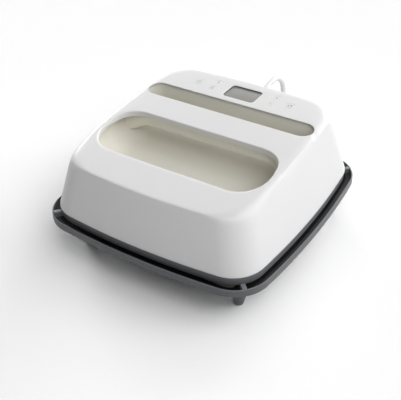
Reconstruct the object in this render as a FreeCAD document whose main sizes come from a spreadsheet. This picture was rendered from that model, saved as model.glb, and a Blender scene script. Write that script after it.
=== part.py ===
import FreeCAD, Part
import math
import os
import re
import Sketcher
from FreeCAD import Placement, Rotation, Vector

# Flat heat press resting in its safety base, in millimetres, +Z up, with the origin on the floor under the
# middle of the base.
# The front, with the wide finger opening, faces -Y. The control panel and the cord are at the rear, +Y.

doc = FreeCAD.newDocument("HeatPress")
sheet = doc.addObject("Spreadsheet::Sheet", "Sheet")

SIZES = {
    # Safety base
    "base_half": (145, "half width of the base lip at the middle of a side"),
    "base_bow": (942, "radius of the gently bowed sides of the lip"),
    "base_corner": (42.5, "radius of the lip's corners"),
    "rim_height": (52, "top of the lip above the floor"),
    "lip_height": (9, "height of the lip's outer band"),
    "lip_wall": (1.6, "thickness of the lip"),
    "lip_step": (2.6, "thickness of the ledge inside the lip"),
    "tray_bottom": (19, "underside of the tray above the floor"),
    "tray_floor": (2.5, "thickness of the tray's floor"),
    "tray_foot_inset": (27.5, "how far the tray's bottom edge lies inside the lip"),
    "tray_neck_inset": (5, "how far the tray's wall lies inside the lip just below it"),
    "tray_skin": (3, "thickness of the tray's sloping wall, measured level"),
    "foot_x": (103.5, "feet from the middle, across"),
    "foot_y": (99, "feet from the middle, front to back"),
    "foot_tip": (5.6, "radius of a foot where it stands"),
    "foot_top": (9.5, "radius of a foot where it meets the tray"),
    "foot_stem": (3, "radius of the stem that snaps through the tray"),
    "foot_barb": (4.4, "radius of the barb above the tray floor"),
    "barb_height": (1.6, "height of the barb"),
    "running_gap": (0.3, "clearance between pieces that move apart"),
    "seat_gap": (0.15, "clearance between pieces that are assembled"),
    "core_height": (20, "height of the insulating core"),
    "core_half": (106, "half width of the insulating core"),
    "core_corner": (22, "corner radius of the core"),
    "mat_height": (2.4, "thickness of the heat-proof mat"),
    "mat_half": (119, "half width of the mat"),
    "mat_corner": (24, "corner radius of the mat"),
    "rest_width": (6.5, "width of a corner rest"),
    "rest_inner": (159, "inner end of a corner rest along the diagonal"),
    "rest_outer": (178.1, "outer end of a corner rest along the diagonal"),
    "guide_inner": (169.2, "inner end of the guide on a corner rest"),
    "guide_rise": (3, "guide above the underside of the press frame"),
    # Heat press body
    "press_half": (136.5, "half width of the shell's lower edge at the middle of a side"),
    "press_bow": (908, "radius of the shell's bowed sides at the lower edge"),
    "press_corner": (39, "radius of the shell's corners at the lower edge"),
    "frame_sink": (3, "underside of the press frame below the lip's top"),
    "frame_height": (10.3, "height of the dark frame band"),
    "frame_taper": (0.6, "how much narrower the frame is at its underside"),
    "frame_step": (0.7, "frame set back from the shell's edge"),
    "shell_rise": (78.4, "deck crown above the shell's lower edge"),
    "shell_wall": (2.6, "thickness of the shell's walls"),
    "deck_wall": (2.8, "thickness of the deck"),
    "loft_rise": (84, "height of the shell's wall form"),
    "shell_lean": (21.5, "how far the walls lean in over the wall form"),
    "top_bow": (900, "radius of the bowed sides at the top of the wall form"),
    "top_corner": (38, "corner radius at the top of the wall form"),
    "deck_radius": (1436, "radius of the deck's fore and aft curve"),
    "deck_apex": (105.6, "where the deck's curve is level, behind the middle"),
    "shoulder": (26, "radius of the shell's left and right shoulders"),
    "shoulder_half": (123.2, "half width of the shoulder form"),
    # Finger openings, handle and tub
    "well_half": (112, "half width of the front finger opening"),
    "well_front": (-80, "front edge of the finger opening"),
    "well_rear": (-2, "rear edge of the finger opening, which is the front of the handle"),
    "well_corner": (37, "corner radius of the finger opening"),
    "slot_half": (110, "half width of the rear slot"),
    "slot_front": (36, "front edge of the rear slot, which is the back of the handle"),
    "slot_rear": (63, "rear edge of the rear slot"),
    "tub_wall": (2, "thickness of the tub"),
    "tub_margin": (0.6, "tub's inside wall outside the edge of the openings"),
    "tub_corner_rear": (16, "rear corner radius of the tub"),
    "tub_corner_share": (0.6, "how far the rear corner radius follows the tub's inset"),
    "tub_floor_rise": (31, "inside floor of the tub above the shell's lower edge"),
    "tub_bend_rise": (21, "where the tub's walls turn in, above its floor"),
    "tub_toe": (17, "how far the tub's floor is inside its walls"),
    "grip_depth": (19, "handle grip below the deck's underside"),
    "grip_wall": (2.6, "thickness of the handle grip"),
    "grip_inset": (1.4, "grip's faces inside the edges of the handle bar"),
    "grip_round": (7, "lower edge radius of the grip"),
    "front_ear_x": (60, "front tub screws and grip screws from the middle"),
    "rear_ear_x": (88, "rear tub screws from the middle"),
    "ear_out": (4.5, "tub screws outside the tub's wall"),
    "ear_drop": (9, "tub's screw ears below the deck's underside"),
    "ear_height": (2.2, "thickness of the tub's screw ears"),
    "ear_width": (10, "width of the tub's screw ears"),
    "boss_radius": (3.2, "radius of the screw bosses under the deck"),
    # Display and buttons
    "window_half_x": (20.5, "half width of the display window opening"),
    "window_front": (72, "front edge of the window opening"),
    "window_rear": (100, "rear edge of the window opening"),
    "window_corner": (4.5, "corner radius of the window opening"),
    "window_sink": (1.5, "lens below the deck"),
    "lens_thickness": (1.4, "thickness of the display lens"),
    "module_margin": (3.5, "display module beyond the window opening"),
    "board_drop": (11.6, "top of the control board below the deck crown"),
    "board_thickness": (1.6, "thickness of the circuit boards"),
    "board_half_x": (77, "half width of the control board"),
    "board_front": (67.5, "front edge of the control board"),
    "board_rear": (108, "rear edge of the control board"),
    "big_cap": (5.8, "radius of the power and start buttons"),
    "small_cap": (4.4, "radius of the four setting buttons"),
    "cap_gap": (0.25, "gap round a button"),
    "cap_proud": (0.3, "button top above the deck crown"),
    "cap_flange": (1.1, "button's flange beyond its cap"),
    "cap_travel": (0.8, "button travel"),
    "switch_height": (3.6, "height of a push switch"),
    "switch_half": (3, "half width of a push switch"),
    "plunger_radius": (1.6, "radius of a push switch's plunger"),
    "plunger_reach": (0.8, "plunger above the switch's case"),
    "stem_radius": (2, "radius of the stem under a button"),
    "stem_gap": (0.2, "gap between a pressed button's stem and its switch"),
    "glass_thickness": (0.6, "thickness of the liquid crystal glass"),
    "glass_margin": (1.5, "glass inside the window opening"),
    "board_screw_x": (5, "board screws inside the board's ends"),
    "board_screw_y": (4, "board screws inside the board's long edges"),
    "buzzer_x": (52, "buzzer from the middle"),
    "buzzer_y": (15, "buzzer behind the board's front edge"),
    "buzzer_radius": (6, "radius of the buzzer"),
    "buzzer_height": (8, "height of the buzzer"),
    "outer_key_x": (62, "power and start buttons from the middle"),
    "outer_key_y": (87, "power and start buttons behind the middle"),
    "inner_key_x": (40, "setting buttons from the middle"),
    "rear_key_y": (97, "rear pair of setting buttons"),
    "front_key_y": (81, "front pair of setting buttons"),
    # Heating parts
    "plate_half": (114.5, "half width of the heat plate"),
    "plate_corner": (20, "corner radius of the heat plate"),
    "plate_height": (10, "thickness of the heat plate"),
    "plate_gap": (1.2, "plate above the mat"),
    "frame_bore": (116.5, "half width of the frame's opening"),
    "frame_bore_corner": (22, "corner radius of the frame's opening"),
    "element_radius": (3.3, "radius of the heating element's tube"),
    "element_half": (78, "half width of the element's loop"),
    "element_corner": (28, "corner radius of the element's loop"),
    "element_mouth": (16, "half gap between the element's ends"),
    "clamp_long": (18, "length of an element clamp across the element"),
    "clamp_wide": (8, "width of an element clamp"),
    "clamp_cap": (1.4, "thickness of an element clamp's bridge"),
    "clamp_room": (0.5, "room round an element clamp in the blanket"),
    "clamp_relief": (2, "depth of the blanket's relief over a clamp"),
    "blanket_half": (110, "half width of the insulating blanket"),
    "blanket_height": (8, "thickness of the insulating blanket"),
    "shield_wall": (0.8, "thickness of the steel heat shield"),
    "shield_half": (113, "half width of the heat shield"),
    "post_x": (95, "mounting posts from the middle, across"),
    "post_y": (97, "mounting posts from the middle, front to back"),
    "post_radius": (5, "radius of the shell's mounting posts"),
    "standoff_radius": (6, "radius of the ceramic standoffs"),
    "stud_radius": (2, "radius of the plate studs"),
    "stud_depth": (5, "stud's depth in the plate"),
    "stud_reach": (12, "stud's reach into a mounting post"),
    # Fasteners
    "screw_radius": (1.5, "radius of the self-tapping screws"),
    "head_radius": (2.9, "radius of the screw heads"),
    "head_height": (2, "height of the screw heads"),
    "rim_screw_out": (122.5, "frame screws from the middle, outwards"),
    "rim_screw_along": (68, "frame screws from the middle, along the side"),
    "rim_boss": (4.3, "radius of the frame screw bosses"),
    "rim_boss_height": (14, "height of the frame screw bosses"),
    "rib_width": (2.4, "width of the webs beside the frame screw bosses"),
    "screw_reach": (6, "thread of a screw in its boss"),
    "bore_slack": (1.5, "bore beyond a screw's tip"),
    # Power parts
    "power_board_rise": (24, "top of the power board above the shell's lower edge"),
    "power_board_half": (58, "half width of the power board"),
    "power_board_front": (73, "front edge of the power board"),
    "power_board_rear": (113, "rear edge of the power board"),
    "leg_inset": (5, "power board legs inside its edges"),
    "leg_radius": (3, "radius of a power board leg"),
    "sink_height": (22, "height of the heat sink"),
    "fin_pitch": (7.75, "distance between the heat sink's fins"),
    # Cord
    "cord_radius": (3.25, "radius of the mains lead"),
    "gland_rise": (54.3, "cord gland above the shell's lower edge"),
    "relief_reach": (16, "strain relief outside the wall"),
    "relief_root": (6, "radius of the strain relief at the wall"),
    "relief_tip": (4.1, "radius of the strain relief at its end"),
    "relief_flange": (9, "radius of the flange inside the wall"),
    "relief_plate": (3, "thickness of the flange inside the wall"),
    "cord_clamp_half": (14, "half width of the cord clamp"),
    "cord_clamp_depth": (7, "depth of the cord clamp, front to back"),
    "cord_clamp_height": (9, "height of the cord clamp"),
    "coil_x": (-82, "middle of the put-away coil, across"),
    "coil_y": (206, "middle of the put-away coil, behind the middle"),
    "coil_outer": (49.7, "radius of the coil's outer turn"),
    "coil_pitch": (7.15, "distance between neighbouring turns and layers"),
    "coil_turns": (3.0625, "turns in each of the coil's two layers"),
    "coil_lead": (24.5, "straight start of the coil"),
    "coil_tail": (20, "straight end of the coil"),
    "cord_rest": (4, "height of the lead's centre on the floor"),
    "tie_wall": (0.5, "thickness of the coil's tie"),
    "tie_width": (10, "width of the coil's tie"),
    "tie_gap": (0.25, "gap between the coil and its tie"),
    "plug_half_width": (12, "half width of the plug"),
    "plug_body": (30, "length of the plug's body"),
    "plug_neck": (20, "length of the plug's tapered neck"),
    "blade_length": (16, "length of the plug's blades"),
    "blade_half": (3.1, "half width of a blade"),
    "blade_thickness": (1.5, "thickness of a blade"),
    "blade_spread": (6.35, "blades from the middle of the plug"),
    "blade_rise": (2, "blades above the middle of the plug"),
    "round_pin_radius": (2.4, "radius of the plug's earth pin"),
    "round_pin_drop": (6, "earth pin below the middle of the plug"),
    "round_pin_extra": (2, "earth pin beyond the blades"),
}

for row, (alias, (number, note)) in enumerate(SIZES.items(), start=1):
    sheet.set(f"A{row}", alias)
    sheet.set(f"B{row}", str(number))
    sheet.set(f"C{row}", note)
    sheet.setAlias(f"B{row}", alias)
doc.recompute()

WORD = re.compile(r"[a-z_]+")


def bound(text):
    """A formula in the sheet's words, as an expression that any object of the document can hold."""
    return WORD.sub(lambda word: f"Sheet.{word[0]}" if word[0] in SIZES else word[0], str(text))


def value(text):
    """What a formula in the sheet's words comes to now."""
    return float(sheet.evalExpression(bound(text)))


def bind(thing, place, text):
    """Tie one property of an object to a formula."""
    thing.setExpression(place, bound(text))


# Heights and outlines that several pieces share, as formulas in the sheet's words
FRAME_BOTTOM = "(rim_height - frame_sink)"
FRAME_TOP = f"({FRAME_BOTTOM} + frame_height)"
SHELL_BOTTOM = f"({FRAME_TOP} + seat_gap)"
DECK_CROWN = f"({SHELL_BOTTOM} + shell_rise)"
LIP_BOTTOM = "(rim_height - lip_height)"
LEDGE_TOP = f"({LIP_BOTTOM} + lip_step)"
TRAY_FLOOR = "(tray_bottom + tray_floor)"
CORE_TOP = f"({TRAY_FLOOR} + core_height)"
MAT_TOP = f"({CORE_TOP} + mat_height)"
PLATE_BOTTOM = f"({MAT_TOP} + plate_gap)"
PLATE_TOP = f"({PLATE_BOTTOM} + plate_height)"
BLANKET_BOTTOM = f"({PLATE_TOP} + 2 * element_radius + running_gap)"
SHIELD_TOP = f"({BLANKET_BOTTOM} + blanket_height + seat_gap + shield_wall)"
TUB_FLOOR = f"({SHELL_BOTTOM} + tub_floor_rise)"
BOARD_TOP = f"({DECK_CROWN} - board_drop)"
POWER_BOARD_TOP = f"({SHELL_BOTTOM} + power_board_rise)"
GLAND_HEIGHT = f"({SHELL_BOTTOM} + gland_rise)"
LEAN = "(shell_lean / loft_rise)"
ORIGIN = ("0", "0", "0")


def deck_at(y):
    """Height of the deck's outer face at a place behind the middle."""
    run = f"(({y}) - deck_apex)"
    return f"({DECK_CROWN} - deck_radius + sqrt(deck_radius * deck_radius - {run} * {run}))"


# Document helpers
def new_body(label):
    body = doc.addObject("PartDesign::Body", label)
    body.AllowCompound = True
    return body


def new_sketch(body, name, role="XY_Plane", offset="0"):
    """A sketch on one of the body's own origin planes, moved along the plane's normal."""
    sketch = body.newObject("Sketcher::SketchObject", f"{body.Label}_{name}")
    plane = [feature for feature in body.Origin.OriginFeatures if feature.Role == role][0]
    sketch.AttachmentSupport = [(plane, "")]
    sketch.MapMode = "FlatFace"
    bind(sketch, "AttachmentOffset.Base.z", offset)
    return sketch


def dimension(sketch, constraint, name, text):
    """Add a constraint that has a size, with the size tied to a formula."""
    number = sketch.addConstraint(Sketcher.Constraint(*constraint, value(text)))
    sketch.renameConstraint(number, name)
    bind(sketch, f"Constraints.{name}", text)


def arc(centre_x, centre_y, radius, start, end):
    circle = Part.Circle(Vector(centre_x, centre_y, 0), Vector(0, 0, 1), radius)
    return Part.ArcOfCircle(circle, start, end)


def join_ends(sketch, count):
    """Each curve of a closed outline runs smoothly into the next."""
    for first in range(count):
        second = (first + 1) % count
        sketch.addConstraint(Sketcher.Constraint("Tangent", first, 2, second, 1))


def bowed_square(sketch, half, bow, corner):
    """Square outline with four gently bowed sides and four corner arcs, all tangent."""
    a, side, rc = value(half), value(bow), value(corner)
    back, reach = a - side, side - rc
    q = (back + math.sqrt(back * back - 2 * (back * back - reach * reach))) / 2
    spread = math.atan2(q, q - back)
    quarter = math.pi / 2
    for turn in range(4):
        angle = turn * quarter
        c, s = round(math.cos(angle)), round(math.sin(angle))
        sketch.addGeometry(arc(back * c, back * s, side, angle - spread, angle + spread), False)
        x, y = q * c - q * s, q * s + q * c
        sketch.addGeometry(arc(x, y, rc, angle + spread, angle + quarter - spread), False)
    join_ends(sketch, 8)
    for turn in range(4):
        side_arc, corner_arc = 2 * turn, 2 * turn + 1
        across = "DistanceX" if turn % 2 == 0 else "DistanceY"
        sign = "" if turn < 2 else "-"
        sketch.addConstraint(Sketcher.Constraint("PointOnObject", side_arc, 3, -1 if turn % 2 == 0 else -2))
        dimension(sketch, (across, -1, 1, side_arc, 3), f"centre_{turn}", f"{sign}(({half}) - ({bow}))")
        dimension(sketch, ("Radius", side_arc), f"bow_{turn}", bow)
        dimension(sketch, ("Radius", corner_arc), f"corner_{turn}", corner)


def rounded_box(sketch, left, right, low, high, low_corner, high_corner=None):
    """Rectangle with rounded corners. The two low corners share a radius, and so do the two high ones."""
    high_corner = high_corner or low_corner
    x0, x1, y0, y1 = value(left), value(right), value(low), value(high)
    r0, r1 = value(low_corner), value(high_corner)
    quarter = math.pi / 2
    line = Part.LineSegment
    outline = [
        line(Vector(x0 + r0, y0, 0), Vector(x1 - r0, y0, 0)),
        arc(x1 - r0, y0 + r0, r0, -quarter, 0),
        line(Vector(x1, y0 + r0, 0), Vector(x1, y1 - r1, 0)),
        arc(x1 - r1, y1 - r1, r1, 0, quarter),
        line(Vector(x1 - r1, y1, 0), Vector(x0 + r1, y1, 0)),
        arc(x0 + r1, y1 - r1, r1, quarter, 2 * quarter),
        line(Vector(x0, y1 - r1, 0), Vector(x0, y0 + r0, 0)),
        arc(x0 + r0, y0 + r0, r0, 2 * quarter, 3 * quarter),
    ]
    first = sketch.GeometryCount
    for piece in outline:
        sketch.addGeometry(piece, False)
    for step in range(8):
        constraint = Sketcher.Constraint("Tangent", first + step, 2, first + (step + 1) % 8, 1)
        sketch.addConstraint(constraint)
    for step, kind in ((0, "Horizontal"), (2, "Vertical"), (4, "Horizontal"), (6, "Vertical")):
        sketch.addConstraint(Sketcher.Constraint(kind, first + step))
    dimension(sketch, ("DistanceY", -1, 1, first, 1), f"low_{first}", low)
    dimension(sketch, ("DistanceX", -1, 1, first + 2, 1), f"right_{first}", right)
    dimension(sketch, ("DistanceY", -1, 1, first + 4, 1), f"high_{first}", high)
    dimension(sketch, ("DistanceX", -1, 1, first + 6, 1), f"left_{first}", left)
    for step, radius in ((1, low_corner), (3, high_corner), (5, high_corner), (7, low_corner)):
        dimension(sketch, ("Radius", first + step), f"round_{first}_{step}", radius)


def square(sketch, half, corner):
    rounded_box(sketch, f"-({half})", half, f"-({half})", half, corner)


def circles(sketch, places, radius):
    """One circle at each place."""
    for x, y in places:
        ring = Part.Circle(Vector(value(x), value(y), 0), Vector(0, 0, 1), value(radius))
        number = sketch.addGeometry(ring, False)
        dimension(sketch, ("Radius", number), f"radius_{number}", radius)
        dimension(sketch, ("DistanceX", -1, 1, number, 3), f"across_{number}", x)
        dimension(sketch, ("DistanceY", -1, 1, number, 3), f"along_{number}", y)


def polygon(sketch, points):
    """Closed outline of straight lines, with every corner placed from the sheet."""
    count = len(points)
    spots = [Vector(value(x), value(y), 0) for x, y in points]
    for number in range(count):
        sketch.addGeometry(Part.LineSegment(spots[number], spots[(number + 1) % count]), False)
    for number in range(count):
        sketch.addConstraint(Sketcher.Constraint("Coincident", number, 2, (number + 1) % count, 1))
    for number, (x, y) in enumerate(points):
        dimension(sketch, ("DistanceX", -1, 1, number, 1), f"across_{number}", x)
        dimension(sketch, ("DistanceY", -1, 1, number, 1), f"along_{number}", y)


def extrude(body, kind, sketch, length, reverse=False):
    """Pad or pocket of a sketch. A pad rises and a pocket sinks unless reversed."""
    feature = body.newObject(f"PartDesign::{kind}", f"{sketch.Label}_{kind.lower()}")
    feature.Profile = sketch
    bind(feature, "Length", length)
    feature.Reversed = reverse
    doc.recompute()
    return feature


def loft(body, kind, sketches):
    """Ruled loft through sketches of the same make."""
    feature = body.newObject(f"PartDesign::{kind}Loft", f"{sketches[0].Label}_loft")
    feature.Profile = sketches[0]
    feature.Sections = sketches[1:]
    feature.Ruled = True
    doc.recompute()
    return feature


def check_cut(body, before, name):
    """A cut that takes nothing away points the wrong way."""
    if body.Shape.Volume > before - 1e-3:
        raise RuntimeError(f"{name} cuts nothing")


def trim_above_deck(body, inset):
    """Cut away what lies above the deck's form, which is moved inwards by inset."""
    top = f"({DECK_CROWN} - ({inset}))"
    bend = f"(shoulder - ({inset}))"
    edge = f"(shoulder_half - ({inset}))"
    spring = f"({DECK_CROWN} - shoulder)"
    far, high = "(2 * shoulder_half)", f"({DECK_CROWN} + 2 * shoulder)"
    sketch = new_sketch(body, "deck", "XZ_Plane", "-deck_apex")
    x, z, r, w = value(edge), value(spring), value(bend), value(far)
    zt, zh = value(top), value(high)
    axis = value(f"{DECK_CROWN} - deck_radius")
    quarter = math.pi / 2
    segment = Part.LineSegment
    sketch.addGeometry(arc(-x + r, z, r, quarter, 2 * quarter), False)
    sketch.addGeometry(segment(Vector(-x + r, zt, 0), Vector(x - r, zt, 0)), False)
    sketch.addGeometry(arc(x - r, z, r, 0, quarter), False)
    right_side = [Vector(x, z, 0), Vector(w, z, 0), Vector(w, zh, 0)]
    corners = right_side + [Vector(-spot.x, spot.y, 0) for spot in reversed(right_side)]
    for start, end in zip(corners, corners[1:]):
        sketch.addGeometry(segment(start, end), False)
    sketch.addGeometry(segment(Vector(-w, axis, 0), Vector(w, axis, 0)), True)
    pair = Sketcher.Constraint
    sketch.addConstraint(pair("Tangent", 0, 1, 1, 1))
    sketch.addConstraint(pair("Tangent", 1, 2, 2, 2))
    sketch.addConstraint(pair("Coincident", 2, 1, 3, 1))
    for number in range(3, 7):
        sketch.addConstraint(pair("Coincident", number, 2, number + 1, 1))
    sketch.addConstraint(pair("Coincident", 7, 2, 0, 2))
    sketch.addConstraint(pair("Horizontal", 1))
    dimension(sketch, ("Radius", 0), "bend_left", bend)
    dimension(sketch, ("Radius", 2), "bend_right", bend)
    dimension(sketch, ("DistanceY", -1, 1, 1, 1), "top", top)
    dimension(sketch, ("DistanceX", -1, 1, 3, 1), "edge_right", edge)
    dimension(sketch, ("DistanceY", -1, 1, 3, 1), "spring_right", spring)
    dimension(sketch, ("DistanceX", -1, 1, 7, 2), "edge_left", f"-({edge})")
    dimension(sketch, ("DistanceY", -1, 1, 7, 2), "spring_left", spring)
    dimension(sketch, ("DistanceX", -1, 1, 4, 1), "far_right", far)
    sketch.addConstraint(pair("Horizontal", 3))
    sketch.addConstraint(pair("Vertical", 4))
    dimension(sketch, ("DistanceY", -1, 1, 5, 1), "high", high)
    sketch.addConstraint(pair("Horizontal", 5))
    sketch.addConstraint(pair("Vertical", 6))
    sketch.addConstraint(pair("Horizontal", 7))
    sketch.addConstraint(pair("Horizontal", 8))
    dimension(sketch, ("DistanceY", -1, 1, 8, 1), "axis_low", f"{DECK_CROWN} - deck_radius")
    dimension(sketch, ("DistanceX", -1, 1, 8, 1), "axis_left", f"-({far})")
    dimension(sketch, ("DistanceX", -1, 1, 8, 2), "axis_right", far)
    doc.recompute()
    before = body.Shape.Volume
    groove = body.newObject("PartDesign::Groove", f"{body.Label}_deck_groove")
    groove.Profile = sketch
    groove.ReferenceAxis = (sketch, ["Axis0"])
    groove.Midplane = True
    groove.Angle = 26
    doc.recompute()
    check_cut(body, before, groove.Label)
    return groove


# Part-style helpers
def box(label, corner, size):
    solid = doc.addObject("Part::Box", label)
    for side, text in zip(("Length", "Width", "Height"), size):
        bind(solid, side, text)
    for direction, text in zip("xyz", corner):
        bind(solid, f"Placement.Base.{direction}", text)
    return solid


def cylinder(label, place, radius, height):
    solid = doc.addObject("Part::Cylinder", label)
    bind(solid, "Radius", radius)
    bind(solid, "Height", height)
    for direction, text in zip("xyz", place):
        bind(solid, f"Placement.Base.{direction}", text)
    return solid


def cone(label, place, low_radius, high_radius, height):
    solid = doc.addObject("Part::Cone", label)
    bind(solid, "Radius1", low_radius)
    bind(solid, "Radius2", high_radius)
    bind(solid, "Height", height)
    for direction, text in zip("xyz", place):
        bind(solid, f"Placement.Base.{direction}", text)
    return solid


def fuse(label, solids):
    whole = doc.addObject("Part::MultiFuse", label)
    whole.Shapes = solids
    return whole


def cut(label, base, tool):
    whole = doc.addObject("Part::Cut", label)
    whole.Base = base
    whole.Tool = tool
    return whole


def group(label, solids):
    whole = doc.addObject("Part::Compound", label)
    whole.Links = solids
    return whole


def four(x, y):
    return [(x, y), (f"-({x})", y), (x, f"-({y})"), (f"-({x})", f"-({y})")]


def screws(label, places, head_low, reach):
    """Screws driven upwards: each place is x, y, and the head's underside is at head_low."""
    made = []
    for number, (x, y, low) in enumerate((x, y, low) for (x, y), low in zip(places, head_low)):
        head = cylinder(f"{label}_head_{number}", (x, y, low), "head_radius", "head_height")
        shank = cylinder(f"{label}_shank_{number}", (x, y, f"{low} + head_height"), "screw_radius", reach)
        socket = cylinder(f"{label}_drive_{number}", (x, y, low), "head_radius / 2", "head_height / 2")
        made.append(cut(f"{label}_{number}", fuse(f"{label}_blank_{number}", [head, shank]), socket))
    return group(label, made)


NODES = []


def node(piece, name=None):
    """Put a finished piece on the list that is written out, under its label."""
    if name:
        piece.Label = name
    NODES.append(piece)
    return piece


# Safety base
def base_outline(body, name, inset, height):
    sketch = new_sketch(body, name, "XY_Plane", height)
    bowed_square(sketch, f"base_half - ({inset})", f"base_bow - ({inset})", f"base_corner - ({inset})")
    return sketch


FEET = four("foot_x", "foot_y")


def make_base_tray():
    body = new_body("base_tray")
    low = base_outline(body, "bottom", "tray_foot_inset", "tray_bottom")
    neck = base_outline(body, "neck", "tray_neck_inset", LIP_BOTTOM)
    loft(body, "Additive", [low, neck])
    lip = base_outline(body, "lip", "0", LIP_BOTTOM)
    extrude(body, "Pad", lip, "lip_height")
    before = body.Shape.Volume
    low_in = base_outline(body, "bottom_inside", "tray_foot_inset + tray_skin", TRAY_FLOOR)
    neck_in = base_outline(body, "neck_inside", "tray_neck_inset + tray_skin", LEDGE_TOP)
    loft(body, "Subtractive", [low_in, neck_in])
    mouth = base_outline(body, "mouth", "lip_wall", "rim_height")
    extrude(body, "Pocket", mouth, "lip_height - lip_step")
    check_cut(body, before, "tray inside")
    holes = new_sketch(body, "foot_holes", "XY_Plane", TRAY_FLOOR)
    circles(holes, FEET, "foot_stem + seat_gap")
    extrude(body, "Pocket", holes, "tray_floor + 1")
    return node(body)


def make_base_feet():
    """Conical push-in feet, each with a stem through the tray and a barb above its floor."""
    feet = []
    for number, (x, y) in enumerate(FEET):
        foot = cone(f"foot_cone_{number}", (x, y, "0"), "foot_tip", "foot_top", "tray_bottom")
        stem = cylinder(f"foot_stem_{number}", (x, y, "tray_bottom"), "foot_stem", "tray_floor")
        barb = cone(f"foot_barb_{number}", (x, y, TRAY_FLOOR), "foot_barb", "foot_stem", "barb_height")
        feet.append(fuse(f"foot_{number}", [foot, stem, barb]))
    return node(group("base_feet", feet))


def make_base_core():
    """Insulating slab in the tray, relieved over the barbs of the feet."""
    body = new_body("base_core")
    outline = new_sketch(body, "outline", "XY_Plane", TRAY_FLOOR)
    square(outline, "core_half", "core_corner")
    extrude(body, "Pad", outline, "core_height")
    relief = new_sketch(body, "relief", "XY_Plane", TRAY_FLOOR)
    circles(relief, FEET, "foot_barb + 1")
    extrude(body, "Pocket", relief, "barb_height + 1", True)
    return node(body)


def make_base_mat():
    body = new_body("base_mat")
    outline = new_sketch(body, "outline", "XY_Plane", CORE_TOP)
    square(outline, "mat_half", "mat_corner")
    extrude(body, "Pad", outline, "mat_height")
    return node(body)


def make_corner_rests():
    """Blocks across the tray's corners, with a guide that centres the press frame."""
    made = []
    for number in range(4):
        turn = 45 + 90 * number
        rest_height = f"{FRAME_BOTTOM} - running_gap - {LEDGE_TOP}"
        rest = box(f"rest_block_{number}", ORIGIN, ("rest_outer - rest_inner", "rest_width", rest_height))
        guide_height = f"{FRAME_BOTTOM} + guide_rise - {LEDGE_TOP}"
        guide = box(f"rest_guide_{number}", ORIGIN, ("rest_outer - guide_inner", "rest_width", guide_height))
        for block, inner in ((rest, "rest_inner"), (guide, "guide_inner")):
            block.Placement = Placement(Vector(), Rotation(Vector(0, 0, 1), turn))
            cosine, sine = f"cos({turn} deg)", f"sin({turn} deg)"
            bind(block, "Placement.Base.x", f"{cosine} * ({inner}) + {sine} * rest_width / 2")
            bind(block, "Placement.Base.y", f"{sine} * ({inner}) - {cosine} * rest_width / 2")
            bind(block, "Placement.Base.z", LEDGE_TOP)
        made.append(fuse(f"rest_{number}", [rest, guide]))
    return node(group("corner_rests", made))


make_base_tray()
make_base_feet()
make_base_core()
make_base_mat()
make_corner_rests()


# Shell, frame, tub and handle
def press_outline(body, name, inset, rise):
    """The shell's wall outline at a height above its lower edge, moved in by inset."""
    sketch = new_sketch(body, name, "XY_Plane", f"{SHELL_BOTTOM} + ({rise})")
    share = f"(({rise}) / loft_rise)"
    bow = f"(press_bow + (top_bow - press_bow) * {share} - ({inset}))"
    corner = f"(press_corner + (top_corner - press_corner) * {share} - ({inset}))"
    bowed_square(sketch, f"press_half - {LEAN} * ({rise}) - ({inset})", bow, corner)
    return sketch


def wall_form(label, inset, drop):
    """Solid under the shell's walls and deck, moved in by inset at the walls and by drop at the deck."""
    body = new_body(label)
    outlines = [press_outline(body, "low", inset, "0"), press_outline(body, "high", inset, "loft_rise")]
    loft(body, "Additive", outlines)
    trim_above_deck(body, drop)
    return body


KEYS = {
    "power_button": ("-outer_key_x", "outer_key_y", "big_cap"),
    "temperature_button": ("-inner_key_x", "rear_key_y", "small_cap"),
    "timer_button": ("-inner_key_x", "front_key_y", "small_cap"),
    "plus_button": ("inner_key_x", "rear_key_y", "small_cap"),
    "minus_button": ("inner_key_x", "front_key_y", "small_cap"),
    "start_button": ("outer_key_x", "outer_key_y", "big_cap"),
}
RIM_SCREWS = four("rim_screw_out", "rim_screw_along") + four("rim_screw_along", "rim_screw_out")
SIDE_DROP = "(rim_screw_along * rim_screw_along / (2 * press_bow))"
POSTS = four("post_x", "post_y")
BOARD_SCREWS = [(x, y) for y in ("board_front + board_screw_y", "board_rear - board_screw_y")
                for x in ("board_half_x - board_screw_x", "board_screw_x - board_half_x")]
BAR_MIDDLE = "((well_rear + slot_front) / 2)"
GRIP_SCREWS = [("front_ear_x", BAR_MIDDLE), ("-front_ear_x", BAR_MIDDLE)]
FRONT_EAR = "(well_front - tub_margin - tub_wall - ear_out)"
REAR_EAR = "(slot_rear + tub_margin + tub_wall + ear_out)"
TUB_EARS = [(f"{sign}{x}", y) for x, y in (("front_ear_x", FRONT_EAR), ("rear_ear_x", REAR_EAR))
            for sign in ("", "-")]


def ear_top(place):
    return f"({deck_at(place[1])} - deck_wall - ear_drop)"


def grip_low():
    """Underside of the handle grip."""
    return f"({deck_at(BAR_MIDDLE)} - deck_wall - grip_depth)"


def wall_tool(label, radius):
    """Cylinder square to the rear wall, at the cord gland."""
    tool = doc.addObject("Part::Cylinder", label)
    bind(tool, "Radius", radius)
    bind(tool, "Height", "6 * shell_wall")
    place_at_gland(tool, "-3 * shell_wall")
    return tool


def gland_point(out):
    """A point on the gland's axis, out from the wall's outer face, as y and z formulas."""
    wall_y = f"(press_half - {LEAN} * gland_rise)"
    slope = f"atan({LEAN})"
    return f"({wall_y} + cos({slope}) * ({out}))", f"({GLAND_HEIGHT} + sin({slope}) * ({out}))"


def place_at_gland(piece, out):
    """Turn a piece made along +Z so that it points out of the rear wall, and move it along that line."""
    tilt = 90 - math.degrees(math.atan(value(LEAN)))
    piece.Placement = Placement(Vector(), Rotation(Vector(1, 0, 0), -tilt))
    y, z = gland_point(out)
    bind(piece, "Placement.Base.y", y)
    bind(piece, "Placement.Base.z", z)


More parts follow.
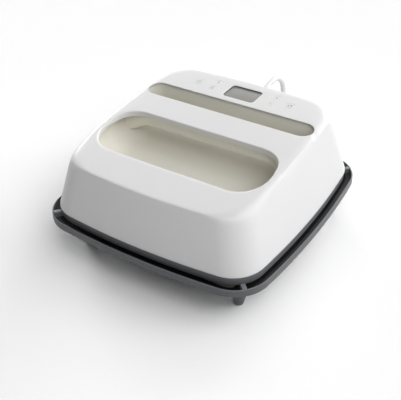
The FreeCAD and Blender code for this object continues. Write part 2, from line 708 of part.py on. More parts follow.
def rim_ribs():
    """A web from each frame screw's boss to the shell's wall beside it."""
    reach = f"(press_half - shell_wall / 2 - {LEAN} * rim_boss_height - {SIDE_DROP} - rim_screw_out)"
    ribs = []
    for number, (x, y) in enumerate(RIM_SCREWS):
        along_x = number < 4
        out = x if along_x else y
        sign = "-" if out.startswith("-") else ""
        size = (reach, "rib_width", "rim_boss_height") if along_x else ("rib_width", reach, "rim_boss_height")
        low_end = f"{out} - {reach}" if sign else out
        corner = (low_end, f"{y} - rib_width / 2") if along_x else (f"{x} - rib_width / 2", low_end)
        ribs.append(box(f"rim_rib_{number}", (*corner, SHELL_BOTTOM), size))
    return ribs


def make_top_shell():
    outside = wall_form("shell_outside", "0", "0")
    inside = wall_form("shell_inside", "shell_wall", "deck_wall")
    skin = cut("shell_skin", outside, inside)
    bosses = [cylinder(f"rim_boss_{number}", (x, y, SHELL_BOTTOM), "rim_boss", "rim_boss_height")
              for number, (x, y) in enumerate(RIM_SCREWS)]
    bosses += rim_ribs()
    hanging = [(place, f"({SHIELD_TOP} + seat_gap)", "post_radius") for place in POSTS]
    hanging += [(place, f"({BOARD_TOP} + seat_gap)", "boss_radius") for place in BOARD_SCREWS]
    hanging += [(place, f"({ear_top(place)} + seat_gap)", "boss_radius") for place in TUB_EARS]
    hanging += [(place, f"({grip_low()} + grip_wall + seat_gap)", "boss_radius") for place in GRIP_SCREWS]
    for number, ((x, y), low, radius) in enumerate(hanging):
        height = f"{deck_at(y)} - deck_wall / 2 - {low}"
        bosses.append(cylinder(f"hanging_boss_{number}", (x, y, low), radius, height))
    solid = fuse("shell_with_bosses", [skin] + bosses)
    tools = new_body("shell_openings")
    top = f"{DECK_CROWN} + 5"
    well = new_sketch(tools, "well", "XY_Plane", top)
    rounded_box(well, "-well_half", "well_half", "well_front", "well_rear", "well_corner")
    extrude(tools, "Pad", well, "30", True)
    slot = new_sketch(tools, "slot", "XY_Plane", top)
    slot_corner = "((slot_rear - slot_front) / 2 - 0.01)"
    rounded_box(slot, "-slot_half", "slot_half", "slot_front", "slot_rear", slot_corner)
    extrude(tools, "Pad", slot, "20", True)
    window = new_sketch(tools, "window", "XY_Plane", top)
    rounded_box(window, "-window_half_x", "window_half_x", "window_front", "window_rear", "window_corner")
    extrude(tools, "Pad", window, "12", True)
    keys = new_sketch(tools, "keys", "XY_Plane", top)
    for x, y, radius in KEYS.values():
        circles(keys, [(x, y)], f"{radius} + cap_gap")
    extrude(tools, "Pad", keys, "12", True)
    drills = [tools, wall_tool("gland_hole", "relief_root + seat_gap")]
    bores = [(place, f"({SHELL_BOTTOM} - 1)", "screw_radius", "rim_boss_height - 1") for place in RIM_SCREWS]
    bores += [(place, SHIELD_TOP, "stud_radius", "stud_reach + bore_slack") for place in POSTS]
    bores += [(place, BOARD_TOP, "screw_radius", "screw_reach + bore_slack") for place in BOARD_SCREWS]
    bores += [(place, ear_top(place), "screw_radius", "screw_reach + bore_slack") for place in TUB_EARS]
    grip_inside = f"({grip_low()} + grip_wall)"
    bores += [(place, grip_inside, "screw_radius", "screw_reach + 2 + bore_slack") for place in GRIP_SCREWS]
    for number, ((x, y), low, radius, depth) in enumerate(bores):
        drills.append(cylinder(f"shell_drill_{number}", (x, y, low), f"{radius} + seat_gap", depth))
    return node(cut("top_shell", solid, fuse("shell_drills", drills)), "top_shell")


def make_lower_frame():
    """Dark ring under the shell, slightly narrower at its underside, with counterbored screw holes."""
    body = new_body("lower_frame")
    low = new_sketch(body, "low", "XY_Plane", FRAME_BOTTOM)
    inset = "frame_step + frame_taper"
    bowed_square(low, f"press_half - ({inset})", f"press_bow - ({inset})", f"press_corner - ({inset})")
    high = new_sketch(body, "high", "XY_Plane", FRAME_TOP)
    bowed_square(high, "press_half - frame_step", "press_bow - frame_step", "press_corner - frame_step")
    loft(body, "Additive", [low, high])
    before = body.Shape.Volume
    bore = new_sketch(body, "bore", "XY_Plane", FRAME_TOP)
    square(bore, "frame_bore", "frame_bore_corner")
    extrude(body, "Pocket", bore, "frame_height + 1")
    heads = new_sketch(body, "heads", "XY_Plane", FRAME_BOTTOM)
    circles(heads, RIM_SCREWS, "head_radius + seat_gap")
    extrude(body, "Pocket", heads, "head_height + 0.6", True)
    holes = new_sketch(body, "holes", "XY_Plane", FRAME_TOP)
    circles(holes, RIM_SCREWS, "screw_radius + seat_gap")
    extrude(body, "Pocket", holes, "frame_height + 1")
    check_cut(body, before, "frame bore")
    return node(body)


def tub_outline(body, name, outward, height):
    sketch = new_sketch(body, name, "XY_Plane", height)
    side = f"(well_half + tub_margin + ({outward}))"
    low = f"(well_front - tub_margin - ({outward}))"
    high = f"(slot_rear + tub_margin + ({outward}))"
    rear_corner = f"tub_corner_rear + ({outward}) * tub_corner_share"
    rounded_box(sketch, f"-{side}", side, low, high, f"well_corner + ({outward})", rear_corner)
    return sketch


def make_handle_tub():
    """Basin under the openings, trimmed to the underside of the deck."""
    body = new_body("handle_tub")
    brim = f"{DECK_CROWN} + 2"
    bend = f"{TUB_FLOOR} + tub_bend_rise"
    under_floor = tub_outline(body, "under_floor", "tub_wall - tub_toe", f"{TUB_FLOOR} - tub_wall")
    under_bend = tub_outline(body, "under_bend", "tub_wall", bend)
    under_brim = tub_outline(body, "under_brim", "tub_wall", brim)
    loft(body, "Additive", [under_floor, under_bend, under_brim])
    for number, (x, y) in enumerate(TUB_EARS):
        ear = new_sketch(body, f"ear_{number}", "XY_Plane", ear_top((x, y)))
        inward, outward = "(tub_wall + ear_out)", "(ear_width / 2 - 1)"
        in_front = y == FRONT_EAR
        low, high = (outward, inward) if in_front else (inward, outward)
        left, right = f"{x} - ear_width / 2", f"{x} + ear_width / 2"
        rounded_box(ear, left, right, f"{y} - {low}", f"{y} + {high}", "1.5")
        extrude(body, "Pad", ear, "ear_height", True)
    before = body.Shape.Volume
    inside_floor = tub_outline(body, "inside_floor", "-tub_toe", TUB_FLOOR)
    inside_bend = tub_outline(body, "inside_bend", "0", bend)
    inside_brim = tub_outline(body, "inside_brim", "0", brim)
    loft(body, "Subtractive", [inside_floor, inside_bend, inside_brim])
    check_cut(body, before, "tub inside")
    for number, place in enumerate(TUB_EARS):
        hole = new_sketch(body, f"ear_hole_{number}", "XY_Plane", ear_top(place))
        circles(hole, [place], "screw_radius + seat_gap")
        extrude(body, "Pocket", hole, "ear_height + 1")
    trim_above_deck(body, "deck_wall + seat_gap")
    return node(body)


def make_handle_grip():
    """Hollow lower half of the handle bar, screwed up into the deck."""
    body = new_body("handle_grip")
    low = grip_low()
    front, rear = "(well_rear + grip_inset)", "(slot_front - grip_inset)"
    half = "(well_half - seat_gap)"
    profile = new_sketch(body, "profile", "YZ_Plane", f"-{half}")
    rounded_box(profile, front, rear, low, f"({DECK_CROWN} + 8)", "grip_round", "1")
    extrude(body, "Pad", profile, f"2 * {half}")
    before = body.Shape.Volume
    hollow = new_sketch(body, "hollow", "YZ_Plane", f"-{half} + grip_wall")
    rounded_box(hollow, f"{front} + grip_wall", f"{rear} - grip_wall", f"{low} + grip_wall",
                f"({DECK_CROWN} + 12)", "grip_round - grip_wall", "1")
    extrude(body, "Pocket", hollow, f"2 * ({half} - grip_wall)", True)
    check_cut(body, before, "grip hollow")
    heads = new_sketch(body, "heads", "XY_Plane", low)
    circles(heads, GRIP_SCREWS, "screw_radius + seat_gap")
    extrude(body, "Pocket", heads, "grip_wall + 1", True)
    trim_above_deck(body, "deck_wall + seat_gap")
    return node(body)


make_top_shell()
make_lower_frame()
make_handle_tub()
make_handle_grip()


# Display, buttons and control board
def make_display():
    lens = new_body("display_window")
    sketch = new_sketch(lens, "outline", "XY_Plane", f"{DECK_CROWN} - window_sink - lens_thickness")
    half = "(window_half_x - seat_gap)"
    rounded_box(sketch, f"-{half}", half, "window_front + seat_gap", "window_rear - seat_gap",
                "window_corner - seat_gap")
    extrude(lens, "Pad", sketch, "lens_thickness")
    node(lens)
    top = f"({DECK_CROWN} - window_sink - lens_thickness - seat_gap)"
    wide = "(window_half_x + module_margin)"
    low = f"({BOARD_TOP})"
    module = box("display_case", (f"-{wide}", "window_front - 1", low),
                 (f"2 * {wide}", "window_rear - window_front + 2", f"{top} - glass_thickness - {low}"))
    corner = ("-(window_half_x - glass_margin)", "window_front + glass_margin", f"{top} - glass_thickness")
    glass = box("display_glass", corner, ("2 * (window_half_x - glass_margin)",
                                          "window_rear - window_front - 2 * glass_margin", "glass_thickness"))
    node(fuse("display_unit", [module, glass]), "display_module")


def make_buttons():
    """Each cap has a flange under the deck and a stem over its switch."""
    for name, (x, y, radius) in KEYS.items():
        top = f"({DECK_CROWN} + cap_proud)"
        flange_top = f"({deck_at('front_key_y')} - deck_wall - running_gap)"
        stem_low = f"({BOARD_TOP} + switch_height + cap_travel + stem_gap)"
        cap = cylinder(f"{name}_cap", (x, y, f"{flange_top} - 0.5"), radius, f"{top} - {flange_top} + 0.5")
        flange = cylinder(f"{name}_flange", (x, y, f"{flange_top} - 1"), f"{radius} + cap_flange", "1")
        stem = cylinder(f"{name}_stem", (x, y, stem_low), "stem_radius", f"{flange_top} - {stem_low}")
        node(fuse(name, [cap, flange, stem]))


def make_switches():
    made = []
    for number, (x, y, radius) in enumerate(KEYS.values()):
        case = box(f"switch_case_{number}", (f"{x} - switch_half", f"{y} - switch_half", BOARD_TOP),
                   ("2 * switch_half", "2 * switch_half", "switch_height - plunger_reach"))
        plunger = cylinder(f"switch_plunger_{number}", (x, y, BOARD_TOP), "plunger_radius", "switch_height")
        made.append(fuse(f"switch_{number}", [case, plunger]))
    return node(group("button_switches", made))


def make_control_board():
    board = box("control_panel_board", ("-board_half_x", "board_front", f"{BOARD_TOP} - board_thickness"),
                ("2 * board_half_x", "board_rear - board_front", "board_thickness"))
    low = f"{BOARD_TOP} - board_thickness - 1"
    holes = [cylinder(f"board_hole_{number}", (x, y, low), "screw_radius + seat_gap", "board_thickness + 2")
             for number, (x, y) in enumerate(BOARD_SCREWS)]
    node(cut("control_board_drilled", board, fuse("board_holes", holes)), "control_board")
    low = f"({BOARD_TOP} - board_thickness - head_height)"
    node(screws("board_screws", BOARD_SCREWS, [low] * 4, "board_thickness + screw_reach"))
    place = ("buzzer_x", "board_front + buzzer_y", f"{BOARD_TOP} - board_thickness - buzzer_height")
    node(cylinder("buzzer", place, "buzzer_radius", "buzzer_height"))


make_display()
make_buttons()
make_switches()
make_control_board()


# Heat plate and what lies on it
def make_heat_plate():
    body = new_body("heat_plate")
    outline = new_sketch(body, "outline", "XY_Plane", PLATE_BOTTOM)
    square(outline, "plate_half", "plate_corner")
    pad = extrude(body, "Pad", outline, "plate_height")
    faces = [f"Face{number}" for number, face in enumerate(pad.Shape.Faces, start=1)
             if abs(face.CenterOfMass.z - value(PLATE_BOTTOM)) < 1e-4]
    chamfer = body.newObject("PartDesign::Chamfer", "plate_chamfer")
    chamfer.Base = (pad, faces)
    chamfer.Size = 1.2
    doc.recompute()
    holes = new_sketch(body, "stud_holes", "XY_Plane", PLATE_TOP)
    circles(holes, POSTS, "stud_radius + seat_gap")
    extrude(body, "Pocket", holes, "stud_depth")
    return node(body)


def rounded_path(points, share=0.45):
    """Straight runs joined by tangent arcs. Each arc's radius is a share of the shorter run over the tangent
    of half the turn. Returns the wire and the radii."""
    edges, radii = [], []
    start = points[0]
    for before, corner, after in zip(points, points[1:], points[2:]):
        arriving = (corner - before).normalize()
        leaving = (after - corner).normalize()
        half_turn = arriving.getAngle(leaving) / 2
        setback = share * min((corner - before).Length, (after - corner).Length)
        radius = setback / math.tan(half_turn)
        radii.append(radius)
        first = corner - arriving * setback
        last = corner + leaving * setback
        inward = (leaving - arriving).normalize()
        crown = corner + inward * (radius / math.cos(half_turn) - radius)
        edges.append(Part.LineSegment(start, first).toShape())
        edges.append(Part.Arc(first, crown, last).toShape())
        start = last
    edges.append(Part.LineSegment(start, points[-1]).toShape())
    return Part.Wire(edges), radii


def tube(wire, radius):
    """Round tube along a wire, with its ends square to it."""
    start = wire.OrderedEdges[0]
    middle = start.valueAt(start.FirstParameter)
    direction = start.tangentAt(start.FirstParameter)
    ring = Part.Wire([Part.Circle(middle, direction, radius).toShape()])
    solid = wire.makePipeShell([ring], True, False)
    expected = math.pi * radius * radius * wire.Length
    if abs(solid.Volume - expected) > 0.02 * expected:
        raise RuntimeError("a tube's volume isn't its section times its length")
    return solid


def feature(label, shape):
    piece = doc.addObject("Part::Feature", label)
    piece.Shape = shape
    return piece


def make_heating_element():
    """Tube bent into a rounded square on the plate, with both ends turned up at the rear."""
    half, bend = value("element_half"), value("element_corner")
    mouth, lift = value("element_mouth"), value(f"{SHIELD_TOP} + 3 - {PLATE_TOP} - element_radius")
    z = value(f"{PLATE_TOP} + element_radius")
    rise = 3 * value("element_radius")
    right_half = [Vector(*spot) for spot in ((mouth, half, z + lift), (mouth, half, z), (half, half, z),
                                             (half, -half, z))]
    path = right_half + [Vector(-spot.x, spot.y, spot.z) for spot in reversed(right_half)]
    edges, start = [], path[0]
    for before, corner, after in zip(path, path[1:], path[2:]):
        arriving, leaving = (corner - before).normalize(), (after - corner).normalize()
        radius = rise if abs(arriving.z) + abs(leaving.z) > 0.5 else bend
        first, last = corner - arriving * radius, corner + leaving * radius
        crown = corner + (leaving - arriving).normalize() * (radius * math.sqrt(2) - radius)
        edges.append(Part.LineSegment(start, first).toShape())
        edges.append(Part.Arc(first, crown, last).toShape())
        start = last
    edges.append(Part.LineSegment(start, path[-1]).toShape())
    return node(feature("heating_element", tube(Part.Wire(edges), value("element_radius"))))


def make_element_clamps():
    """Bridges that hold the element down on the plate."""
    made = []
    spots = [("element_half", "0", True), ("-element_half", "0", True), ("0", "-element_half", False)]
    for number, (x, y, along_y) in enumerate(spots):
        wide, long = ("clamp_long", "clamp_wide") if along_y else ("clamp_wide", "clamp_long")
        block = box(f"clamp_block_{number}", (f"{x} - {wide} / 2", f"{y} - {long} / 2", PLATE_TOP),
                    (wide, long, "2 * element_radius + running_gap"))
        bore = cylinder(f"clamp_bore_{number}", (x, y, "0"), "element_radius + seat_gap", "20")
        lying = Rotation(Vector(1, 0, 0), -90) if along_y else Rotation(Vector(0, 1, 0), 90)
        bore.Placement = Placement(Vector(), lying)
        bind(bore, "Placement.Base.x", x if along_y else f"{x} - 10")
        bind(bore, "Placement.Base.y", f"{y} - 10" if along_y else y)
        bind(bore, "Placement.Base.z", f"{PLATE_TOP} + element_radius")
        trough = box(f"clamp_trough_{number}",
                     (f"{x} - {'(element_radius + seat_gap)' if along_y else '5'}",
                      f"{y} - {'5' if along_y else '(element_radius + seat_gap)'}", f"{PLATE_TOP} - 1"),
                     ("2 * (element_radius + seat_gap)" if along_y else "10",
                      "10" if along_y else "2 * (element_radius + seat_gap)", "element_radius + 1"))
        corner = (f"{x} - {wide} / 2", f"{y} - {long} / 2", BLANKET_BOTTOM)
        crown = box(f"clamp_cap_{number}", corner, (wide, long, "clamp_cap"))
        made.append(cut(f"clamp_{number}", fuse(f"clamp_solid_{number}", [block, crown]),
                        fuse(f"clamp_cut_{number}", [bore, trough])))
    return node(group("element_clamps", made))


def make_sensors():
    base = box("sensor_base", ("-7", "-34", PLATE_TOP), ("14", "10", "2"))
    tip = cylinder("sensor_tip", ("0", "-29", f"{PLATE_TOP} + 2"), "3", "3")
    node(fuse("temperature_sensor", [base, tip]))
    seat = box("fuse_seat", ("-16", "20", PLATE_TOP), ("32", "8", "1.5"))
    barrel = cylinder("fuse_barrel", ("-9", "24", f"{PLATE_TOP} + 1.5 + 2"), "2", "18")
    barrel.Placement = Placement(Vector(), Rotation(Vector(0, 1, 0), 90))
    bind(barrel, "Placement.Base.x", "-9")
    bind(barrel, "Placement.Base.y", "24")
    bind(barrel, "Placement.Base.z", f"{PLATE_TOP} + 3.4")
    node(fuse("thermal_fuse", [seat, barrel]))


ELEMENT_ENDS = [("element_mouth", "element_half"), ("-element_mouth", "element_half")]


def make_blanket_and_shield():
    blanket = new_body("insulation_blanket")
    outline = new_sketch(blanket, "outline", "XY_Plane", BLANKET_BOTTOM)
    square(outline, "blanket_half", "plate_corner - 3")
    extrude(blanket, "Pad", outline, "blanket_height")
    holes = new_sketch(blanket, "holes", "XY_Plane", BLANKET_BOTTOM)
    circles(holes, POSTS, "standoff_radius + 0.5")
    slot_side = "(element_radius + 1)"
    slot_end = "(element_mouth + 4 * element_radius + 1)"
    rounded_box(holes, f"-{slot_end}", slot_end, f"element_half - {slot_side}", f"element_half + {slot_side}",
                "element_radius")
    extrude(blanket, "Pocket", holes, "blanket_height + 1", True)
    caps = new_sketch(blanket, "clamp_caps", "XY_Plane", BLANKET_BOTTOM)
    long, wide = "(clamp_long / 2 + clamp_room)", "(clamp_wide / 2 + clamp_room)"
    for middle in ("element_half", "-element_half"):
        rounded_box(caps, f"{middle} - {long}", f"{middle} + {long}", f"-{wide}", wide, "0.5")
    rounded_box(caps, f"-{wide}", wide, f"-element_half - {long}", f"-element_half + {long}", "0.5")
    extrude(blanket, "Pocket", caps, "clamp_relief", True)
    node(blanket)
    shield = new_body("heat_shield")
    rim = new_sketch(shield, "rim", "XY_Plane", SHIELD_TOP)
    square(rim, "shield_half", "plate_corner - 1")
    extrude(shield, "Pad", rim, f"{SHIELD_TOP} - {PLATE_TOP}", True)
    under = new_sketch(shield, "under", "XY_Plane", f"{PLATE_TOP} - 1")
    square(under, "shield_half - shield_wall", "plate_corner - 1 - shield_wall")
    extrude(shield, "Pocket", under, f"{SHIELD_TOP} - shield_wall - {PLATE_TOP} + 1", True)
    drill = new_sketch(shield, "drill", "XY_Plane", SHIELD_TOP)
    circles(drill, POSTS, "stud_radius + seat_gap")
    circles(drill, ELEMENT_ENDS, "element_radius + 1")
    extrude(shield, "Pocket", drill, "shield_wall + 1")
    node(shield)


def make_standoffs():
    tubes, studs = [], []
    high = f"({SHIELD_TOP} - shield_wall - {PLATE_TOP})"
    for number, (x, y) in enumerate(POSTS):
        outer = cylinder(f"standoff_outer_{number}", (x, y, PLATE_TOP), "standoff_radius", high)
        bore = cylinder(f"standoff_bore_{number}", (x, y, f"{PLATE_TOP} - 1"), "stud_radius + seat_gap",
                        f"{high} + 2")
        tubes.append(cut(f"standoff_{number}", outer, bore))
        low = f"({PLATE_TOP} - stud_depth)"
        length = f"{SHIELD_TOP} + stud_reach - {low}"
        studs.append(cylinder(f"stud_{number}", (x, y, low), "stud_radius", length))
    node(group("plate_standoffs", tubes))
    node(group("plate_studs", studs))


make_heat_plate()
make_heating_element()
make_element_clamps()
make_sensors()
make_blanket_and_shield()
make_standoffs()


# Screws that hold the frame, the tub and the grip
def make_case_screws():
    node(screws("frame_screws", RIM_SCREWS, [f"({FRAME_BOTTOM} + 0.5)"] * 8, "frame_height + 6"))
    ears = [f"({ear_top(place)} - ear_height - head_height)" for place in TUB_EARS]
    node(screws("tub_screws", TUB_EARS, ears, "ear_height + screw_reach"))
    low = f"({grip_low()} - head_height)"
    node(screws("grip_screws", GRIP_SCREWS, [low] * 2, "grip_wall + screw_reach + 2"))


make_case_screws()


# Power supply behind the tub. Each box's left side, its setback from the board's front edge, and its size.
BOARD_PARTS = {
    "power_relay": ("-48", "6", ("20", "16", "17")),
    "supply_transformer": ("-20", "4", ("24", "20", "20")),
}


def make_power_parts():
    front, low = "power_board_front", f"({POWER_BOARD_TOP} - board_thickness)"
    deep = "(power_board_rear - power_board_front)"
    board_size = ("2 * power_board_half", deep, "board_thickness")
    node(box("power_board", ("-power_board_half", front, low), board_size))
    corners = [(x, y) for x in ("power_board_half - leg_inset", "leg_inset - power_board_half")
               for y in (f"{front} + leg_inset", "power_board_rear - leg_inset")]
    legs = [cylinder(f"leg_{number}", (x, y, SHIELD_TOP), "leg_radius", f"{low} - {SHIELD_TOP}")
            for number, (x, y) in enumerate(corners)]
    node(group("power_board_legs", legs))
    for name, (left, back, size) in BOARD_PARTS.items():
        node(box(name, (left, f"{front} + {back}", POWER_BOARD_TOP), size))
    node(cylinder("filter_capacitor", ("-34", f"{front} + 31", POWER_BOARD_TOP), "6", "14"))
    spine = box("sink_spine", ("12", f"{front} + 24", POWER_BOARD_TOP), ("34", "3", "sink_height"))
    fins = []
    for number in range(5):
        corner = (f"12 + {number} * fin_pitch", f"{front} + 26", POWER_BOARD_TOP)
        fins.append(box(f"sink_fin_{number}", corner, ("3", "8", "sink_height")))
    node(fuse("heat_sink", [spine] + fins))
    block = box("terminal_body", ("24", f"{front} + 3", POWER_BOARD_TOP), ("30", "13", "12"))
    wells = []
    for number in range(3):
        place = (f"31.5 + {number} * 7.5", f"{front} + 9.5", f"{POWER_BOARD_TOP} + 7")
        wells.append(cylinder(f"terminal_well_{number}", place, "2", "6"))
    node(cut("terminal_block", block, fuse("terminal_wells", wells)))


make_power_parts()


# Cord: strain relief, free run, coil, tie and plug
def make_strain_relief():
    """Tapered boot square to the rear wall, with a flange inside and a waist through the wall."""
    body = new_body("strain_relief")
    profile = new_sketch(body, "profile", "XZ_Plane", "0")
    inside = "(-(shell_wall + seat_gap))"
    back = f"{inside} - relief_plate"
    flange = [("0", back), ("relief_flange", back), ("relief_flange", inside), ("relief_root", inside)]
    collar = [("relief_root", "1"), ("relief_root + 0.6", "1"), ("relief_root + 0.6", "3")]
    polygon(profile, flange + collar + [("relief_tip", "relief_reach"), ("0", "relief_reach")])
    turn = body.newObject("PartDesign::Revolution", "relief_turn")
    turn.Profile = profile
    turn.ReferenceAxis = (profile, ["V_Axis"])
    turn.Angle = 360
    doc.recompute()
    place_at_gland(body, "0")
    return node(body)


def make_cord_clamp():
    """Bridge inside the rear wall that grips the lead behind the boot."""
    y, z = gland_point("-(shell_wall + seat_gap + relief_plate + cord_clamp_depth)")
    size = ("2 * cord_clamp_half", "cord_clamp_depth", "cord_clamp_height")
    block = box("clamp_bar", ("-cord_clamp_half", "0", "0"), size)
    bind(block, "Placement.Base.y", y)
    bind(block, "Placement.Base.z", f"{z} - cord_clamp_height")
    return node(block, "cord_clamp")


def coil_point(turns):
    """A point of the coil's centreline after so many turns. The radius shrinks one pitch a turn through the
    lower layer and grows back through the upper one, and the climb fills the half turn where it reverses."""
    pitch, layer_turns = value("coil_pitch"), value("coil_turns")
    from_reversal = turns - layer_turns
    ease = 0.25
    distance = abs(from_reversal)
    if distance < ease:
        distance = from_reversal * from_reversal / (2 * ease) + ease / 2
    radius = value("coil_outer") - pitch * layer_turns + pitch * distance
    climb = min(max((from_reversal + ease) / (2 * ease), 0), 1)
    height = value("cord_rest") + pitch * climb * climb * (3 - 2 * climb)
    angle = -math.pi / 2 - 2 * math.pi * turns
    x = value("coil_x") + radius * math.cos(angle)
    y = value("coil_y") + radius * math.sin(angle)
    return Vector(x, y, height)


def coil_heading(turns):
    step = 1e-5
    return (coil_point(turns + step) - coil_point(turns - step)).normalize()


def biarc(start, heading, end, last_heading):
    """Two tangent arcs from one point and direction to another."""
    chord = end - start
    both = heading + last_heading
    square_term = 2 * (1 - heading.dot(last_heading))
    along = chord.dot(both)
    reach = (math.sqrt(along * along + square_term * chord.dot(chord)) - along) / square_term
    first_corner = start + heading * reach
    last_corner = end - last_heading * reach
    joint = (first_corner + last_corner) * 0.5
    edges = []
    for a, corner, b in ((start, first_corner, joint), (joint, last_corner, end)):
        middle = (a + b) * 0.5
        half_chord = (b - a).Length / 2
        half_turn = math.acos(min(half_chord / reach, 1))
        crown = middle + (corner - middle).normalize() * (half_chord * math.tan(half_turn / 2))
        edges.append(Part.Arc(a, crown, b).toShape())
    return edges


def make_cord_coil():
    steps_per_turn = 4
    total = 2 * value("coil_turns")
    count = round(total * steps_per_turn * 2) // 2
    marks = [total * number / count for number in range(count + 1)]
    edges = []
    for first, last in zip(marks, marks[1:]):
        edges += biarc(coil_point(first), coil_heading(first), coil_point(last), coil_heading(last))
    end = coil_point(total)
    tail = end + coil_heading(total) * value("coil_tail")
    lead = coil_point(0) - coil_heading(0) * value("coil_lead")
    edges.insert(0, Part.LineSegment(lead, coil_point(0)).toShape())
    edges.append(Part.LineSegment(end, tail).toShape())
    wire = Part.Wire(edges)
    samples = 2400
    fine = [coil_point(total * number / samples) for number in range(samples + 1)]
    apart = round(0.6 * samples / total)
    gap = min((one - other).Length for place, one in enumerate(fine[::8])
              for other in fine[8 * place + apart::4])
    print(f"coil length {wire.Length:.1f} mm, least gap to itself {gap - 2 * value('cord_radius'):.2f} mm")
    node(feature("cord_coil", tube(wire, value("cord_radius"))))
    return lead, tail, coil_heading(total), wire.Length


# Corners of the free lead's path behind the press, over in an arch, down to the floor and towards the coil
CORD_ROUTE = [(-1, 180, 117), (-2, 195, 101), (-4, 201, 77), (-3, 211, 46), (-6, 195, 13), (-17, 169, 4)]
# Straight stretch out of the boot, and where the lead turns into line with the coil
EXIT_STRETCH = 21.5
LAST_CORNER_X = -38


def make_cord_run(coil_start):
    """Free stretch from the boot, over in an arch, down to the floor and along it to the coil."""
    y, z = (value(text) for text in gland_point("relief_reach + seat_gap"))
    lean = math.atan(value(LEAN))
    exit_point = Vector(0, y, z)
    first = exit_point + Vector(0, math.cos(lean), math.sin(lean)) * EXIT_STRETCH
    meeting = Vector(coil_start.x + value("running_gap"), coil_start.y, coil_start.z)
    points = [exit_point, first] + [Vector(*place) for place in CORD_ROUTE]
    points += [Vector(LAST_CORNER_X, coil_start.y, coil_start.z), meeting]
    wire, radii = rounded_path(points)
    print("cord radii", [round(radius, 1) for radius in radii], "run length", round(wire.Length, 1))
    node(feature("cord_run", tube(wire, value("cord_radius"))))
    return wire.Length


def make_cord_tie():
    """Flat strap round the coil's turns, on the side towards the object."""
    band = new_body("cord_tie")
    wall, gap, radius, pitch = "tie_wall", "tie_gap", "cord_radius", "coil_pitch"
    inner = "(coil_outer - coil_pitch * coil_turns)"
    low = f"(cord_rest - {radius} - {gap})"
    high = f"(cord_rest + {pitch} + {radius} + {gap})"
    near = f"({inner} - {radius} - {gap} + coil_pitch * 0.1)"
    far = f"(coil_outer + {radius} + {gap})"
    outer = new_sketch(band, "outer", "XZ_Plane", "-coil_y - tie_width / 2")
    rounded_box(outer, f"coil_x + {near} - {wall}", f"coil_x + {far} + {wall}",
                f"{low} - {wall}", f"{high} + {wall}", f"{radius} + {wall}")
    extrude(band, "Pad", outer, "tie_width")
    before = band.Shape.Volume
    inside = new_sketch(band, "inside", "XZ_Plane", "-coil_y - tie_width / 2 - 1")
    rounded_box(inside, f"coil_x + {near}", f"coil_x + {far}", low, high, radius)
    extrude(band, "Pocket", inside, "tie_width + 2", True)
    check_cut(band, before, "tie")
    return node(band)


def make_plug(tail, heading):
    """Plug beside the coil: a tapered neck, a moulded body on the floor, two blades and a round pin."""
    turn = Rotation(Vector(1, 0, 0), Vector(heading.x, heading.y, 0))
    spot = Placement(Vector(tail.x, tail.y, tail.z), turn)
    neck = doc.addObject("Part::Cone", "plug_neck_cone")
    bind(neck, "Radius1", "cord_radius + 1")
    bind(neck, "Radius2", "plug_half_width * 0.6")
    bind(neck, "Height", "plug_neck")
    neck.Placement = spot.multiply(Placement(Vector(), Rotation(Vector(0, 1, 0), 90)))
    half_height = tail.z - 0.05
    block = Part.makeBox(value("plug_body"), 2 * value("plug_half_width"), 2 * half_height,
                         Vector(value("plug_neck"), -value("plug_half_width"), -half_height))
    lengthwise = [edge for edge in block.Edges if abs(edge.tangentAt(edge.FirstParameter).x) > 0.9]
    rounded = block.makeFillet(4, lengthwise)
    body = feature("plug_block", rounded)
    body.Placement = spot
    node(fuse("plug_body", [neck, body]))
    start = value("plug_neck + plug_body")
    half, thick, spread = value("blade_half"), value("blade_thickness"), value("blade_spread")
    pins = []
    for side in (-1, 1):
        corner = Vector(start, side * spread - thick / 2, value("blade_rise") - half)
        pins.append(Part.makeBox(value("blade_length"), thick, 2 * half, corner))
    pin_length = value("blade_length + round_pin_extra")
    pin_foot = Vector(start, 0, -value("round_pin_drop"))
    pins.append(Part.makeCylinder(value("round_pin_radius"), pin_length, pin_foot, Vector(1, 0, 0)))
    blades = feature("plug_pins", Part.makeCompound(pins))
    blades.Placement = spot
    return node(blades)


make_strain_relief()
make_cord_clamp()
coil_start, coil_tail_end, tail_heading, coil_length = make_cord_coil()
run_length = make_cord_run(coil_start)
make_cord_tie()
make_plug(coil_tail_end, tail_heading)
print("cord length", round(run_length + coil_length, 1))

doc.recompute()
for item in doc.Objects:
    faults = [state for state in item.State if state in ("Invalid", "Error")]
    if faults:
        raise RuntimeError(f"{item.Label} is {faults}")
for piece in NODES:
    if piece.Shape.isNull() or not piece.Shape.isValid() or not piece.Shape.Solids:
        raise RuntimeError(f"{piece.Label} has no sound shape")

os.makedirs("parts", exist_ok=True)
for piece in NODES:
    piece.Shape.exportStep(f"parts/{piece.Label}.step")
print(len(NODES), "nodes")
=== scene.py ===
import math

import bmesh
import bpy
import numpy as np
from mathutils import Matrix, Vector
from mathutils.geometry import delaunay_2d_cdt


